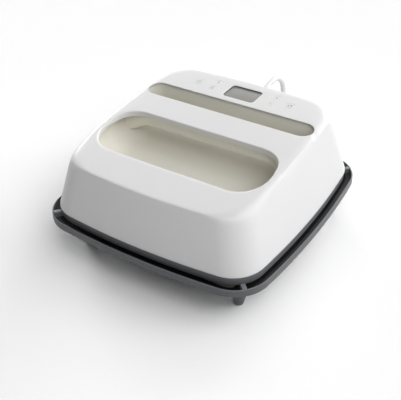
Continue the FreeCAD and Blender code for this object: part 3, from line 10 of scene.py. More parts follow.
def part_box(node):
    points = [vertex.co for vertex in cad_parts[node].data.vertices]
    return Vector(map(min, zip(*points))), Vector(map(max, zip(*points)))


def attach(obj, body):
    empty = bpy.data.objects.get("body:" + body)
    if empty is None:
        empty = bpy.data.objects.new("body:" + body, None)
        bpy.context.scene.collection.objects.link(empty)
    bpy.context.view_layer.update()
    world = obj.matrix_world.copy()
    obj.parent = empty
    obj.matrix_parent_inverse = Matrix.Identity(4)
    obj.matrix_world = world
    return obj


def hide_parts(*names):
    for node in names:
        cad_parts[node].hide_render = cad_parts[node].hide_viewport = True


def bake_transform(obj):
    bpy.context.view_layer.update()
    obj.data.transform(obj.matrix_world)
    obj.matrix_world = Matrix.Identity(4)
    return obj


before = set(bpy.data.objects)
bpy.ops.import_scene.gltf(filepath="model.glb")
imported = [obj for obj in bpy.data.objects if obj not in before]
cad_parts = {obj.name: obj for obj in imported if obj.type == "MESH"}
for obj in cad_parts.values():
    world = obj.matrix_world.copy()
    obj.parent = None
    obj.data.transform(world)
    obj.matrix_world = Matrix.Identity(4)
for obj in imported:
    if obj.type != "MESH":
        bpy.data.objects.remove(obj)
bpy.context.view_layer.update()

# Shapes are worked out in millimetres and scaled to metres as they are built
MM = 0.001
WELD_DISTANCE = 0.02


def span(node):
    """Lowest and highest corners of a CAD node, in millimetres."""
    low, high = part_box(node)
    return np.array(low) / MM, np.array(high) / MM


SHELL_LOW = span("top_shell")[0][2]
DECK_CROWN = span("top_shell")[1][2]
PRESS_HALF = span("top_shell")[1][0]
FRAME_LOW, FRAME_HIGH = span("lower_frame")[0][2], span("lower_frame")[1][2]
BASE_HALF = span("base_tray")[1][0]
TRAY_LOW, RIM_TOP = span("base_tray")[0][2], span("base_tray")[1][2]
TUB_FLOOR = span("handle_tub")[0][2] + 2
GRIP_LOW = span("handle_grip")[0][2]

# Press body, as the CAD shell is formed
PRESS_BOW, PRESS_CORNER = 908, 39
TOP_BOW, TOP_CORNER = 900, 38
LOFT_RISE, SHELL_LEAN = 84, 21.5
DECK_RADIUS, DECK_APEX = 1436, 105.6

# Rounding from the deck to the sides: its radius and half width in front and behind, where it changes from one to
# the other, and how fast its side leans out under it
SHOULDER, SHOULDER_HALF = 22, 123
REAR_SHOULDER, REAR_SHOULDER_HALF = 5, 119
SHOULDER_CHANGE = (-100, -40)
SHOULDER_LEAN = 0.5

# Softness of the edge between wall and deck at the sides, the rear and the front
CREASE_SIDE, CREASE_REAR, CREASE_FRONT = 3.2, 1.9, 0.55

# Openings, and the bow of the base
WELL_HALF, WELL_FRONT, WELL_REAR, WELL_CORNER = 112, -80, -2, 37
SLOT_HALF, SLOT_FRONT, SLOT_REAR = 110, 36, 63
WINDOW = (-20.5, 20.5, 72, 100, 4.5)
BASE_BOW, BASE_CORNER = 942, 42.5

# Buttons: place and radius
KEYS = {
    "power_button": (-62, 87, 5.8),
    "temperature_button": (-40, 97, 4.4),
    "timer_button": (-40, 81, 4.4),
    "plus_button": (40, 97, 4.4),
    "minus_button": (40, 81, 4.4),
    "start_button": (62, 87, 5.8),
}
KEY_GAP = 0.07

# Camera, from the lines and edges of the photograph
CAMERA_TARGET = np.array([35.88, -65.23, 90.0])
CAMERA_AZIMUTH, CAMERA_ELEVATION, CAMERA_ROLL = 34.0, 36.23, -2.09
CAMERA_DISTANCE = 819.75
CAMERA_LENS = 68.66
SENSOR = 36.0
LAMP_AIM = 0.08


# Meshes
def grid_faces(rows, columns, close_rows=False, close_columns=False):
    """Quads of a grid whose vertices are numbered along columns first."""
    r = np.arange(rows if close_rows else rows - 1)
    c = np.arange(columns if close_columns else columns - 1)
    i, j = np.meshgrid(r, c, indexing="ij")
    i2, j2 = (i + 1) % rows, (j + 1) % columns
    return np.stack([i * columns + j, i2 * columns + j, i2 * columns + j2, i * columns + j2], -1).reshape(-1, 4)


def new_piece(name, points, faces, material, body, stands_for=(), sharp=None, changes=None):
    """A smooth mesh piece from points in millimetres and faces of any size. Edges sharper than the angle sharp stay
    crisp, and the faces are turned outwards unless other changes are given."""
    mesh = bpy.data.meshes.new(name)
    mesh.from_pydata((np.asarray(points).reshape(-1, 3) * MM).tolist(), [], [list(map(int, f)) for f in faces])
    mesh.validate()
    mesh.update()
    mesh.polygons.foreach_set("use_smooth", np.ones(len(mesh.polygons), dtype=bool))
    for one in material if isinstance(material, (list, tuple)) else [material]:
        mesh.materials.append(one)
    piece = bpy.data.objects.new(name, mesh)
    bpy.context.scene.collection.objects.link(piece)
    if body:
        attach(piece, body)
    if stands_for:
        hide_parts(*stands_for)
    for change in changes or (face_outwards,):
        work = bmesh.new()
        work.from_mesh(mesh)
        change(work)
        work.to_mesh(mesh)
        work.free()
    if sharp:
        mesh.set_sharp_from_angle(angle=math.radians(sharp))
    return piece


def weld(work):
    """Join vertices that lie together."""
    bmesh.ops.remove_doubles(work, verts=work.verts, dist=WELD_DISTANCE * MM)


def face_outwards(work):
    """Turn every face the way its neighbours face, outwards."""
    bmesh.ops.recalc_face_normals(work, faces=work.faces)


def face_up(work):
    """Turn a basin's faces so that its floor faces up."""
    face_outwards(work)
    floor = max(work.faces, key=lambda face: face.calc_area())
    if floor.normal.z < 0:
        bmesh.ops.reverse_faces(work, faces=work.faces)


def capped_rings(count, steps):
    """Faces of count samples round an outline at steps levels, with a face across the first level and the last."""
    caps = [list(range(0, count * steps, steps))[::-1], list(range(steps - 1, count * steps, steps))]
    return list(grid_faces(count, steps, close_rows=True)) + caps


def capped_tube(count, steps):
    """Faces of count sections of steps points each, with a face across the first section and the last."""
    caps = [list(range(steps))[::-1], list(range((count - 1) * steps, count * steps))]
    return list(grid_faces(count, steps, close_columns=True)) + caps


def levels(rings):
    """Rows through rings of flat points, each at its own height or heights."""
    return np.stack([np.column_stack([flat, np.broadcast_to(z, len(flat))]) for flat, z in rings], 1)


def full_turn(steps):
    return np.linspace(0, 2 * math.pi, steps, endpoint=False)


def join(parts):
    """One point list and face list from several (points, faces) pairs."""
    points, faces, start = [], [], 0
    for part_points, part_faces in parts:
        part_points = np.asarray(part_points).reshape(-1, 3)
        points.append(part_points)
        faces += [[int(v) + start for v in face] for face in part_faces]
        start += len(part_points)
    return np.concatenate(points), faces


# Outlines
def bowed_outline(half, bow, corner, side_steps=48, corner_steps=30):
    """Square with bowed sides, from the middle of the right side round anticlockwise.

    Each side is an arc of radius bow centred on an axis at half - bow, and each corner an arc of radius corner
    centred on a diagonal where both arcs run in one direction. Returns each sample's centre, radius and normal.
    """
    back, reach = half - bow, bow - corner
    q = (back + math.sqrt(2 * reach * reach - back * back)) / 2
    spread = math.atan2(q, q - back)
    centres, radii, angles = [], [], []
    for quarter in range(4):
        turn = quarter * math.pi / 2
        side = np.linspace(-spread, spread, side_steps, endpoint=False)
        bend = np.linspace(spread, math.pi / 2 - spread, corner_steps, endpoint=False)
        spin = np.array([[math.cos(turn), -math.sin(turn)], [math.sin(turn), math.cos(turn)]])
        centres += [spin @ (back, 0)] * side_steps + [spin @ (q, q)] * corner_steps
        radii += [bow] * side_steps + [corner] * corner_steps
        angles += list(side + turn) + list(bend + turn)
    angles = np.array(angles)
    return np.array(centres), np.array(radii), np.stack([np.cos(angles), np.sin(angles)], -1)


def sweep_inside(outline, profile):
    """Carry a profile of (inset, height) round an outline: each point is centre + (radius - inset) * normal."""
    centres, radii, normals = outline
    inset, height = np.asarray(profile, float).T
    flat = centres[:, None] + (radii[:, None] - inset)[..., None] * normals[:, None]
    return np.concatenate([flat, np.broadcast_to(height, flat.shape[:2])[..., None]], -1)


def rounded_rectangle(left, right, low, high, low_corner, high_corner, straight, bend):
    """Rectangle with rounded corners, anticlockwise from the right side's lower end. Each sample is centre + radius
    times normal, so an offset only changes the radius. Returns centres, radii and normals."""
    corners = [(right - high_corner, high - high_corner, high_corner, 0),
               (left + high_corner, high - high_corner, high_corner, 1),
               (left + low_corner, low + low_corner, low_corner, 2),
               (right - low_corner, low + low_corner, low_corner, 3)]
    centres, radii, normals = [], [], []
    for index, (x, y, radius, quarter) in enumerate(corners):
        before = corners[index - 1]
        normal = np.array([math.cos(quarter * math.pi / 2), math.sin(quarter * math.pi / 2)])
        start = np.array(before[:2]) + before[2] * normal
        end = np.array([x, y]) + radius * normal
        for t in np.linspace(0, 1, straight, endpoint=False):
            radius_here = before[2] + (radius - before[2]) * t
            centres.append(start + (end - start) * t - radius_here * normal)
            radii.append(radius_here)
            normals.append(normal)
        for angle in np.linspace(quarter, quarter + 1, bend, endpoint=False) * math.pi / 2:
            centres.append(np.array([x, y]))
            radii.append(radius)
            normals.append(np.array([math.cos(angle), math.sin(angle)]))
    return np.array(centres), np.array(radii), np.array(normals)


def circle_outline(x, y, radius):
    steps = 40
    angles = full_turn(steps)
    normals = np.stack([np.cos(angles), np.sin(angles)], -1)
    return np.full((steps, 2), (x, y), float), np.full(steps, float(radius)), normals


def ring_points(outline, offset=0.0):
    centres, radii, normals = outline
    return centres + (radii + offset)[:, None] * normals


# Form of the press body: leaning bowed walls cut by a deck that is curved fore and aft
def smoothstep(x, low, high):
    t = np.clip((x - low) / (high - low), 0, 1)
    return t * t * (3 - 2 * t)


def wall_distance(x, y, z):
    """Distance outside the leaning wall: the distance from the bowed outline at that height, times the cosine of
    the lean."""
    share = (z - SHELL_LOW) / LOFT_RISE
    half = PRESS_HALF - SHELL_LEAN * share
    bow = PRESS_BOW + (TOP_BOW - PRESS_BOW) * share
    corner = PRESS_CORNER + (TOP_CORNER - PRESS_CORNER) * share
    back, reach = half - bow, bow - corner
    q = (back + np.sqrt(2 * reach ** 2 - back ** 2)) / 2
    spread = np.arctan2(q, q - back)
    x, y = np.abs(x), np.abs(y)
    right_side = np.hypot(x - back, y) - bow
    far_side = np.hypot(x, y - back) - bow
    in_corner = (np.arctan2(y, x - back) > spread) & (np.arctan2(x, y - back) > spread)
    flat = np.where(in_corner, np.hypot(x - q, y - q) - corner, np.maximum(right_side, far_side))
    return flat * math.cos(math.atan(SHELL_LEAN / LOFT_RISE))


def deck_distance(x, y, z):
    """Distance outside the deck: a cylinder across the body whose left and right ends are rounded, more broadly in
    front than beside the panel. Under the rounding its side leans out faster than the wall, which stays whole."""
    above = np.hypot(y - DECK_APEX, z - DECK_CROWN + DECK_RADIUS) - DECK_RADIUS
    rear = smoothstep(y, *SHOULDER_CHANGE)
    bend = SHOULDER + (REAR_SHOULDER - SHOULDER) * rear
    half = SHOULDER_HALF + (REAR_SHOULDER_HALF - SHOULDER_HALF) * rear
    over, beyond = above + bend, np.abs(x) - half + bend
    side = beyond - bend - SHOULDER_LEAN * np.maximum(-over, 0)
    return np.where((over > 0) & (beyond > 0), np.hypot(over, beyond) - bend, np.maximum(above, side))


def crease_width(x, y):
    """How soft the edge between wall and deck is: crisp along the front, soft at the sides and corners."""
    front = smoothstep(-y, 90, 118) * (1 - smoothstep(np.abs(x), 70, 108))
    rear = smoothstep(y, 95, 112)
    return (CREASE_SIDE * (1 - rear) + CREASE_REAR * rear) * (1 - front) + CREASE_FRONT * front


def skin(x, y, z):
    """Outside the body where this is above zero: the larger of the two distances, blended evenly near the crease."""
    wall, deck, width = wall_distance(x, y, z), deck_distance(x, y, z), crease_width(x, y)
    return np.maximum(wall, deck) + width * np.log1p(np.exp(-np.abs(wall - deck) / width))


def halve(low, high, outside):
    """Close in by halving on the place where the test turns true. Returns the last two places."""
    for _ in range(40):
        middle = (low + high) / 2
        past = outside(middle)
        low, high = np.where(past, low, middle), np.where(past, middle, high)
    return low, high


def deck_height(x, y):
    """Height of the body's skin over a point."""
    low, high = halve(np.full(np.shape(x), SHELL_LOW + 30.0), np.full(np.shape(x), DECK_CROWN + 2.0),
                      lambda z: skin(x, y, z) > 0)
    return (low + high) / 2


WELL = rounded_rectangle(-WELL_HALF, WELL_HALF, WELL_FRONT, WELL_REAR, WELL_CORNER, WELL_CORNER, 26, 22)
SLOT_ROUND = (SLOT_REAR - SLOT_FRONT) / 2 - 0.01
SLOT = rounded_rectangle(-SLOT_HALF, SLOT_HALF, SLOT_FRONT, SLOT_REAR, SLOT_ROUND, SLOT_ROUND, 26, 16)
SCREEN = rounded_rectangle(*WINDOW, WINDOW[-1], 10, 8)
PRESS_OUTLINE = bowed_outline(PRESS_HALF, PRESS_BOW, PRESS_CORNER)


def shell_walls():
    """Skin from the lower edge up the wall and over the crease. In each upright section, rays leave a point inside
    and meet the skin, and the samples are then shared out by length and by bend. Returns them and the top ring."""
    normals, foot = PRESS_OUTLINE[2], ring_points(PRESS_OUTLINE)
    count, rays, samples, bend_weight = len(foot), 260, 46, 9
    side_inset, front_inset, rear_inset = 19.4, 21.0, 23.5
    across = np.abs(normals[:, 0]) ** 2
    inset = side_inset * across + np.where(normals[:, 1] < 0, front_inset, rear_inset) * (1 - across)
    top = foot - inset[:, None] * normals
    depth, origin_z, farthest = 30.0, SHELL_LOW + 44, 90.0
    origin = foot - depth * normals
    first = np.full(count, math.atan2(SHELL_LOW + 1.2 - origin_z, depth - 0.3))
    last = np.arctan2(deck_height(*top.T) - origin_z, depth - inset)
    angle = first[:, None] + (last - first)[:, None] * np.linspace(0, 1, rays)

    def outside(distance):
        flat = origin[:, None] + (distance * np.cos(angle))[..., None] * normals[:, None]
        return skin(flat[..., 0], flat[..., 1], origin_z + distance * np.sin(angle)) > 0

    distance = halve(np.zeros_like(angle), np.full_like(angle, farthest), outside)[0]
    out, up = distance * np.cos(angle), distance * np.sin(angle)
    run = np.hypot(np.diff(out), np.diff(up))
    heading = np.unwrap(np.arctan2(np.diff(up), np.diff(out)))
    turning = np.abs(np.diff(heading, axis=1, append=heading[:, -1:]))
    weight = np.concatenate([np.zeros((count, 1)), np.cumsum(run + bend_weight * turning, axis=1)], 1)
    apart = (weight.max() + 1) * np.arange(count)[:, None]
    spots = apart + weight[:, -1:] * np.linspace(0, 1, samples)
    out_here, rise = (np.interp(spots, (weight + apart).ravel(), values.ravel()) for values in (out, up))
    flat = origin[:, None] + out_here[..., None] * normals[:, None]
    return np.concatenate([flat, origin_z + rise[..., None]], -1), top


def lip(outline, rounding, skirt, reach=0.0):
    """Rounded edge of an opening. A quarter round leaves the deck, then a skirt goes straight down, and its lower
    edge turns back out. The skirt lies inside the outline by reach. Returns the rows and the deck's own edge."""
    rounding, skirt, reach = (np.broadcast_to(size, len(outline[0])).astype(float)
                              for size in (rounding, skirt, reach))
    edge = ring_points(outline, rounding - reach)
    top, depth = deck_height(*edge.T), np.maximum(skirt, rounding + 0.1)
    rings = [(ring_points(outline, rounding * (1 - math.sin(bend)) - reach), top - rounding * (1 - math.cos(bend)))
             for bend in np.linspace(0, math.pi / 2, 9)]
    rings += [(ring_points(outline, offset), top - depth * share)
              for offset, share in ((-reach, 1.0), (0.3 - reach, 1.03), (1.0, 0.98))]
    return levels(rings), edge


def inside_ring(points, ring):
    """True for points inside a closed ring: a level line from the point crosses it an odd number of times."""
    start, end = ring, np.roll(ring, -1, axis=0)
    x, y = points[:, None, 0], points[:, None, 1]
    crosses = (start[:, 1] > y) != (end[:, 1] > y)
    with np.errstate(divide="ignore", invalid="ignore"):
        at = start[:, 0] + (y - start[:, 1]) * (end[:, 0] - start[:, 0]) / (end[:, 1] - start[:, 1])
    return (np.sum(crosses & (x < at), axis=1) % 2) == 1


def clear_of(points, ring, distance):
    """True for points at least a distance from every point of a ring."""
    gap = np.min(np.hypot(points[:, None, 0] - ring[:, 0], points[:, None, 1] - ring[:, 1]), axis=1)
    return gap > distance


def make_shell(material):
    """Press body: walls, deck and the rounded edges of its openings. The finger opening's edge is broad at the
    front and ends, where it reaches inwards, and tight along the handle."""
    walls, rim = shell_walls()
    foot = sweep_inside(PRESS_OUTLINE, [(inset, SHELL_LOW + rise) for inset, rise in (
        (4.2, 5), (2.9, 0.5), (2.4, 0), (1.0, 0), (0.5, 0.12), (0.32, 0.4))])
    bar_side = smoothstep(np.clip(WELL[2][:, 1], 0, 1), 0.2, 0.9)
    ends = np.abs(WELL[2][:, 0]) ** 2
    lips = [lip(WELL, 2.2 - 1.2 * bar_side, 5.9 + 0.9 * bar_side, (2.8 + 2.2 * ends) * (1 - bar_side)),
            lip(SLOT, 0.5, 1.3), lip(SCREEN, 0.6, 2.6)]
    lips += [lip(circle_outline(x, y, radius + KEY_GAP), 0.2, 2.6) for x, y, radius in KEYS.values()]
    strips = [walls, np.concatenate([foot, walls[:, :1]], 1)] + [rows for rows, _ in lips]
    parts = [(rows, grid_faces(*rows.shape[:2], close_rows=True)) for rows in strips]
    edges = [edge for _, edge in lips]
    loops = [rim] + edges

    def on_deck(points):
        """True for points inside the deck's rim and outside every opening."""
        return inside_ring(points, rim) & ~np.any([inside_ring(points, edge) for edge in edges], axis=0)

    pitch, reach = 3.2, 116
    axis = np.arange(-reach, reach + 0.1, pitch)
    inner = np.stack(np.meshgrid(axis, axis), -1).reshape(-1, 2)
    inner = inner[clear_of(inner, np.concatenate(loops), pitch * 0.55)]
    seams, start = [], 0
    for loop in loops:
        seams += [(start + i, start + (i + 1) % len(loop)) for i in range(len(loop))]
        start += len(loop)
    flat = np.concatenate(loops + [inner[on_deck(inner)]])
    spots, _, triangles, *_ = delaunay_2d_cdt([Vector(p) for p in flat.tolist()], seams, [], 0, 1e-5)
    spots, triangles = np.array([tuple(p) for p in spots]), np.array([tuple(t) for t in triangles])
    deck = np.column_stack([spots, deck_height(*spots.T)])
    parts.append((deck, triangles[on_deck(spots[triangles].mean(axis=1))]))
    new_piece("press_shell", *join(parts), material, "press", ["top_shell"], 38, (weld, face_outwards))


def make_frame(material):
    """Dark band under the shell: a closed profile carried round the press's outline, wider at the top."""
    step, taper, bore = 0.7, 0.6, PRESS_HALF - 118.5
    profile = rounded_path([(bore, FRAME_LOW), (step + taper, FRAME_LOW, 1.4), (step, FRAME_HIGH, 0.4),
                            (bore, FRAME_HIGH)], 1, 6)
    rows = sweep_inside(PRESS_OUTLINE, profile)
    faces = grid_faces(*rows.shape[:2], close_rows=True, close_columns=True)
    new_piece("frame_band", rows, faces, material, "press", ["lower_frame"], 50)


def rounded_path(corners, radius, steps=5):
    """A flat path of straight runs whose corners are rounded by arcs of one radius, or of the radius given."""
    path = [np.array(corners[0][:2], float)]
    for before, corner, after in zip(corners, corners[1:], corners[2:]):
        here = np.array(corner[:2], float)
        bend = corner[2] if len(corner) > 2 else radius
        arriving = np.array(before[:2]) - here
        leaving = np.array(after[:2]) - here
        arriving, leaving = arriving / np.linalg.norm(arriving), leaving / np.linalg.norm(leaving)
        half = math.acos(np.clip(arriving @ leaving, -1, 1)) / 2
        if bend <= 0 or half > math.pi / 2 - 0.02:
            path.append(here)
            continue
        setback = bend / math.tan(half)
        middle = here + (arriving + leaving) / np.linalg.norm(arriving + leaving) * bend / math.sin(half)
        start, end = here + arriving * setback - middle, here + leaving * setback - middle
        turn = math.acos(np.clip(start @ end / bend ** 2, -1, 1))
        for t in np.linspace(0, 1, steps + 1):
            path.append(middle + (math.sin((1 - t) * turn) * start + math.sin(t * turn) * end) / math.sin(turn))
    path.append(np.array(corners[-1][:2], float))
    return np.array(path)


def make_tray(material, gap_shade):
    """Safety base: one profile from the middle of the underside out to the lip, over it and in to the floor. Inside
    the lip its faces are near black: painted shade for the dark gap under the press."""
    lip_low, ledge, floor = RIM_TOP - 9, RIM_TOP - 6.4, TRAY_LOW + 2.5
    profile = rounded_path([(40, TRAY_LOW), (27.5, TRAY_LOW, 5), (5, lip_low, 1.2), (0, lip_low, 0.9),
                            (0, RIM_TOP, 0.9), (1.6, RIM_TOP, 0.5), (1.6, ledge, 1.0), (8, ledge, 1.5),
                            (30.5, floor, 4), (40, floor)], 1)
    rows = sweep_inside(bowed_outline(BASE_HALF, BASE_BOW, BASE_CORNER), profile)
    count, steps = rows.shape[:2]
    tray = new_piece("safety_base", rows, capped_rings(count, steps), [material, gap_shade], "base", ["base_tray"], 45)
    crest = int(np.argmax(profile[:, 1]))
    # From here on the faces inside the lip take the painted shade.
    gap_shade_start = crest + int(np.argmax((profile[crest:, 0] > 1.5) & (profile[crest:, 1] < RIM_TOP - 1)))
    slots = np.tile((np.arange(steps - 1) >= gap_shade_start).astype(np.int32), count)
    tray.data.polygons.foreach_set("material_index", np.concatenate([slots, [0, 1]]))


def lathe(x, y, profile):
    """A profile of (radius, height) turned about an upright line, with a face across each end."""
    steps, profile = 48, np.asarray(profile, float)
    angles = full_turn(steps)
    ring = np.stack([np.cos(angles), np.sin(angles)], -1)
    flat = np.array([x, y]) + profile[:, 0][None, :, None] * ring[:, None]
    rows = np.concatenate([flat, np.broadcast_to(profile[:, 1], flat.shape[:2])[..., None]], -1)
    return rows.reshape(-1, 3), capped_rings(steps, len(profile))


def make_feet(material):
    """Conical rubber feet with a rounded sole and a collar where they meet the base."""
    profile = rounded_path([(0.4, 0), (4.9, 0, 1.3), (7.7, 11, 30), (9.4, TRAY_LOW - 2.4, 0.8),
                            (10.3, TRAY_LOW - 1.6, 0.6), (10.3, TRAY_LOW + 0.02)], 1)
    feet = [lathe(x, y, profile) for x in (-103.5, 103.5) for y in (-99, 99)]
    new_piece("rubber_feet", *join(feet), material, "base", ["base_feet"], 50)


def make_tub(material):
    """Basin under the openings. Each level is a rounded rectangle, and the inset and height follow a quarter of a
    superellipse from the upright wall to the floor."""
    margin, toe, rise, brim_width, brim_drop = 0.7, 30.0, 29.0, 2.6, 0.9
    turn = np.linspace(0, math.pi / 2, 22)
    inset = toe * (1 - np.cos(turn) ** 0.9)
    height = TUB_FLOOR + rise * (1 - np.sin(turn) ** 0.9)
    rings = []
    for inward, z in [(0.0, None)] + list(zip(inset, height)):
        low_corner = max(WELL_CORNER + margin - 0.75 * inward, 6)
        high_corner = max(16 - 0.35 * inward, 5)
        half = WELL_HALF + margin - inward
        outline = rounded_rectangle(-half, half, WELL_FRONT - margin + inward, SLOT_REAR + margin - inward,
                                    low_corner, high_corner, 40, 22)
        flat = ring_points(outline)
        if z is None:
            z = np.minimum(deck_height(*ring_points(outline, brim_width).T), deck_height(*flat.T)) - brim_drop
        rings.append((flat, z))
    rows = levels(rings)
    faces = capped_rings(*rows.shape[:2])
    del faces[-2]
    tub = new_piece("grip_basin", rows, faces, material, "press", ["handle_tub"], changes=(face_up,))
    wall = tub.modifiers.new("wall", "SOLIDIFY")
    wall.thickness = 1.8 * MM
    wall.offset = -1


def make_grip(material):
    """Lower half of the handle: a rounded bar section carried across the body. Its top stays under the skin, and its
    lower part flares down into the basin at both ends."""
    gap, cover, steps = 1.2, 4.6, 120
    front, rear, top = WELL_REAR + gap, SLOT_FRONT - gap, DECK_CROWN - cover
    middle = (front + rear) / 2
    section = rounded_path([(front, top), (front, GRIP_LOW, 7), (middle, GRIP_LOW - 0.6, 60), (rear, GRIP_LOW, 7),
                            (rear, top)], 7, 8)
    x = np.sin(np.linspace(-math.pi / 2, math.pi / 2, steps)) * (WELL_HALF - 0.3)
    skin_top = np.minimum(*(deck_height(x, np.full(steps, float(y))) for y in (front, rear))) - cover
    share = (section[:, 1] - GRIP_LOW) / (top - GRIP_LOW)
    flare = smoothstep(np.abs(x), 76, 112)[:, None] * np.clip(1 - share, 0, 1.2) ** 2
    flare_forward, flare_down = 2.5, 13
    rows = np.empty((steps, len(section), 3))
    rows[..., 0] = x[:, None]
    rows[..., 1] = section[:, 0] - flare_forward * flare * (section[:, 0] < middle)
    rows[..., 2] = GRIP_LOW + share * (skin_top[:, None] - GRIP_LOW) - flare_down * flare
    new_piece("handle_underside", rows, capped_tube(steps, len(section)), material, "press", ["handle_grip"], 50)


def make_buttons(cap_material, mark_material, start_material):
    """Button caps with a rounded edge and a shallow dish, and a printed sign on each."""
    proud, stem, flange, dish_depth = 0.05, 1.8, 1.0, 0.22
    for name, (x, y, radius) in KEYS.items():
        top = float(deck_height(np.array([x]), np.array([y]))[0]) + proud
        profile = [(stem, span(name)[0][2]), (stem, top - 5.2), (radius + flange, top - 5.2),
                   (radius + flange, top - 4.2), (radius, top - 4.2), (radius, top - 0.5), (radius - 0.07, top - 0.22),
                   (radius - 0.25, top - 0.06), (radius - 0.55, top)]
        profile += [(radius * share, top - dish_depth * (1 - (share / 0.85) ** 2))
                    for share in (0.8, 0.6, 0.4, 0.2, 0.02)]
        new_piece(f"{name}_cap", *lathe(x, y, profile), cap_material, name, [name], 55)
        ink = start_material if name == "start_button" else mark_material
        new_piece(f"{name}_sign", *join(button_sign(name, x, y, top - 0.2)), ink, name)


def stroke(points, width, z, closed=False):
    """A flat printed line of one width along points, lying in the cap's dish."""
    thick, points = 0.09, np.asarray(points, float)
    ahead = np.roll(points, -1, axis=0) - points
    if not closed:
        ahead[-1] = ahead[-2]
    back = np.roll(ahead, 1, axis=0)
    if not closed:
        back[0] = ahead[0]
    direction = sum(run / np.linalg.norm(run, axis=1)[:, None] for run in (ahead, back))
    direction /= np.linalg.norm(direction, axis=1)[:, None]
    side = np.stack([-direction[:, 1], direction[:, 0]], -1) * width / 2
    rows = levels([(points + side, z), (points + side, z + thick), (points - side, z + thick), (points - side, z)])
    count = len(points)
    faces = list(grid_faces(count, 4, close_rows=closed, close_columns=True))
    if not closed:
        faces += [[0, 1, 2, 3], [4 * count - 1, 4 * count - 2, 4 * count - 3, 4 * count - 4]]
    return rows.reshape(-1, 3), faces


def arc_points(x, y, radius, start, end, steps=24):
    angles = np.radians(np.linspace(start, end, steps))
    return np.column_stack([x + radius * np.cos(angles), y + radius * np.sin(angles)])


def button_sign(name, x, y, z):
    """Generic signs: a power sign, a thermometer, a clock, plus, minus, and a ring for start. Where two strokes
    cross, one lies a little lower."""
    plain, lower = 0.55, 0.01

    def line(points, width=plain, drop=0.0):
        return stroke([(x + across, y + up) for across, up in points], width, z - drop)

    def ring(up, radius, width, steps, drop=0.0):
        return stroke(arc_points(x, y + up, radius, 0, 360, steps)[:-1], width, z - drop, closed=True)

    level = line([(-1.6, 0), (1.6, 0)])
    return {
        "power_button": [stroke(arc_points(x, y, 2.5, 125, 415), plain, z), line([(0, 0.6), (0, 3.1)])],
        "temperature_button": [line([(0, -0.6), (0, 2.0)], 0.7), ring(-1.3, 0.6, 0.9, 20, lower)],
        "timer_button": [ring(0, 1.9, 0.45, 30), line([(0, 1.2), (0, 0), (0.9, -0.4)], 0.4)],
        "plus_button": [level, line([(0, -1.6), (0, 1.6)], drop=lower)],
        "minus_button": [level],
        "start_button": [ring(0, 2.4, 0.75, 36)],
    }[name]


def make_screen(lens_material, recess_shade_material):
    """Sunken display lens with a rounded edge, and a dark ring down the walls of its opening: painted shade of the
    recess.
    """
    low, high = span("display_window")
    corner = 4.35
    outline = rounded_rectangle(low[0], high[0], low[1], high[1], corner, corner, 10, 8)
    rows = levels([(ring_points(outline, -inset), z) for inset, z in (
        (0, low[2]), (0, high[2] - 0.35), (0.12, high[2] - 0.1), (0.4, high[2]))])
    new_piece("display_lens", rows, capped_rings(*rows.shape[:2]), lens_material, "press", ["display_window"], 50)
    # Dark ring down the window's walls: painted shade of the recess.
    top = deck_height(*ring_points(SCREEN).T)
    rows = levels([(ring_points(SCREEN, -inset), np.maximum(top - drop, high[2] - sink)) for inset, drop, sink in (
        (-0.1, 0.55, 0), (0.2, 0.55, 0), (0.4, 0.8, 0), (0.45, 9, -0.02), (-0.1, 9, 0.3))])
    faces = grid_faces(*rows.shape[:2], close_rows=True, close_columns=True)
    new_piece("display_recess_shade_ring", rows, faces, recess_shade_material, "press")


# Cord. The route's corners are those of the free lead, and the coil's turns follow from a loop.
CORD_RADIUS = 3.25
LEAN_ANGLE = math.atan(SHELL_LEAN / LOFT_RISE)
OUTWARD = np.array([0, math.cos(LEAN_ANGLE), math.sin(LEAN_ANGLE)])
GLAND_RISE, RELIEF_REACH = 54.3, 16.15
GLAND = np.array([0, PRESS_HALF - SHELL_LEAN / LOFT_RISE * GLAND_RISE, SHELL_LOW + GLAND_RISE])
CORD_EXIT = GLAND + OUTWARD * RELIEF_REACH
CORD_ROUTE = [(-1, 180, 117), (-2, 195, 101), (-4, 201, 77), (-3, 211, 46), (-6, 195, 13), (-17, 169, 4)]
COIL_CENTRE, COIL_OUTER, COIL_PITCH, COIL_TURNS, COIL_TAIL = (-82, 206), 49.7, 7.15, 3.0625, 20
CORD_REST = 4


def coil_point(turns):
    """The radius shrinks one pitch a turn through the lower layer and grows back through the upper one, and the
    climb fills the half turn where it reverses."""
    ease, late = 0.25, turns - COIL_TURNS
    distance = np.where(np.abs(late) < ease, late ** 2 / (2 * ease) + ease / 2, np.abs(late))
    radius = COIL_OUTER - COIL_PITCH * COIL_TURNS + COIL_PITCH * distance
    climb = np.clip((late + ease) / (2 * ease), 0, 1)
    angle = -math.pi / 2 - 2 * math.pi * turns
    height = CORD_REST + COIL_PITCH * climb ** 2 * (3 - 2 * climb)
    return np.stack([COIL_CENTRE[0] + radius * np.cos(angle), COIL_CENTRE[1] + radius * np.sin(angle), height], -1)


def cord_corners():
    """Control points of the whole lead, in millimetres. The coil's lie outside its turns by the share that a
    spline of this order cuts inside its corners."""
    per_turn, total, first_run = 16, 2 * COIL_TURNS, 21.5
    coil = coil_point(np.linspace(0, total, round(total * per_turn) + 1))
    spread = 1 / (0.75 + 0.25 * math.cos(2 * math.pi / per_turn))
    centre = np.array(COIL_CENTRE)
    coil[:, :2] = centre + (coil[:, :2] - centre) * spread
    end = coil_point(np.array(total))
    heading = end - coil_point(np.array(total - 1e-4))
    heading /= np.linalg.norm(heading)
    route = [CORD_EXIT, CORD_EXIT + OUTWARD * first_run] + [np.array(p, float) for p in CORD_ROUTE]
    route += [np.array([x, COIL_CENTRE[1] - COIL_OUTER, CORD_REST]) for x in (-38.0, -62.5)]
    return np.array(route + list(coil[:-1]) + [end, end + heading * COIL_TAIL]), end, heading


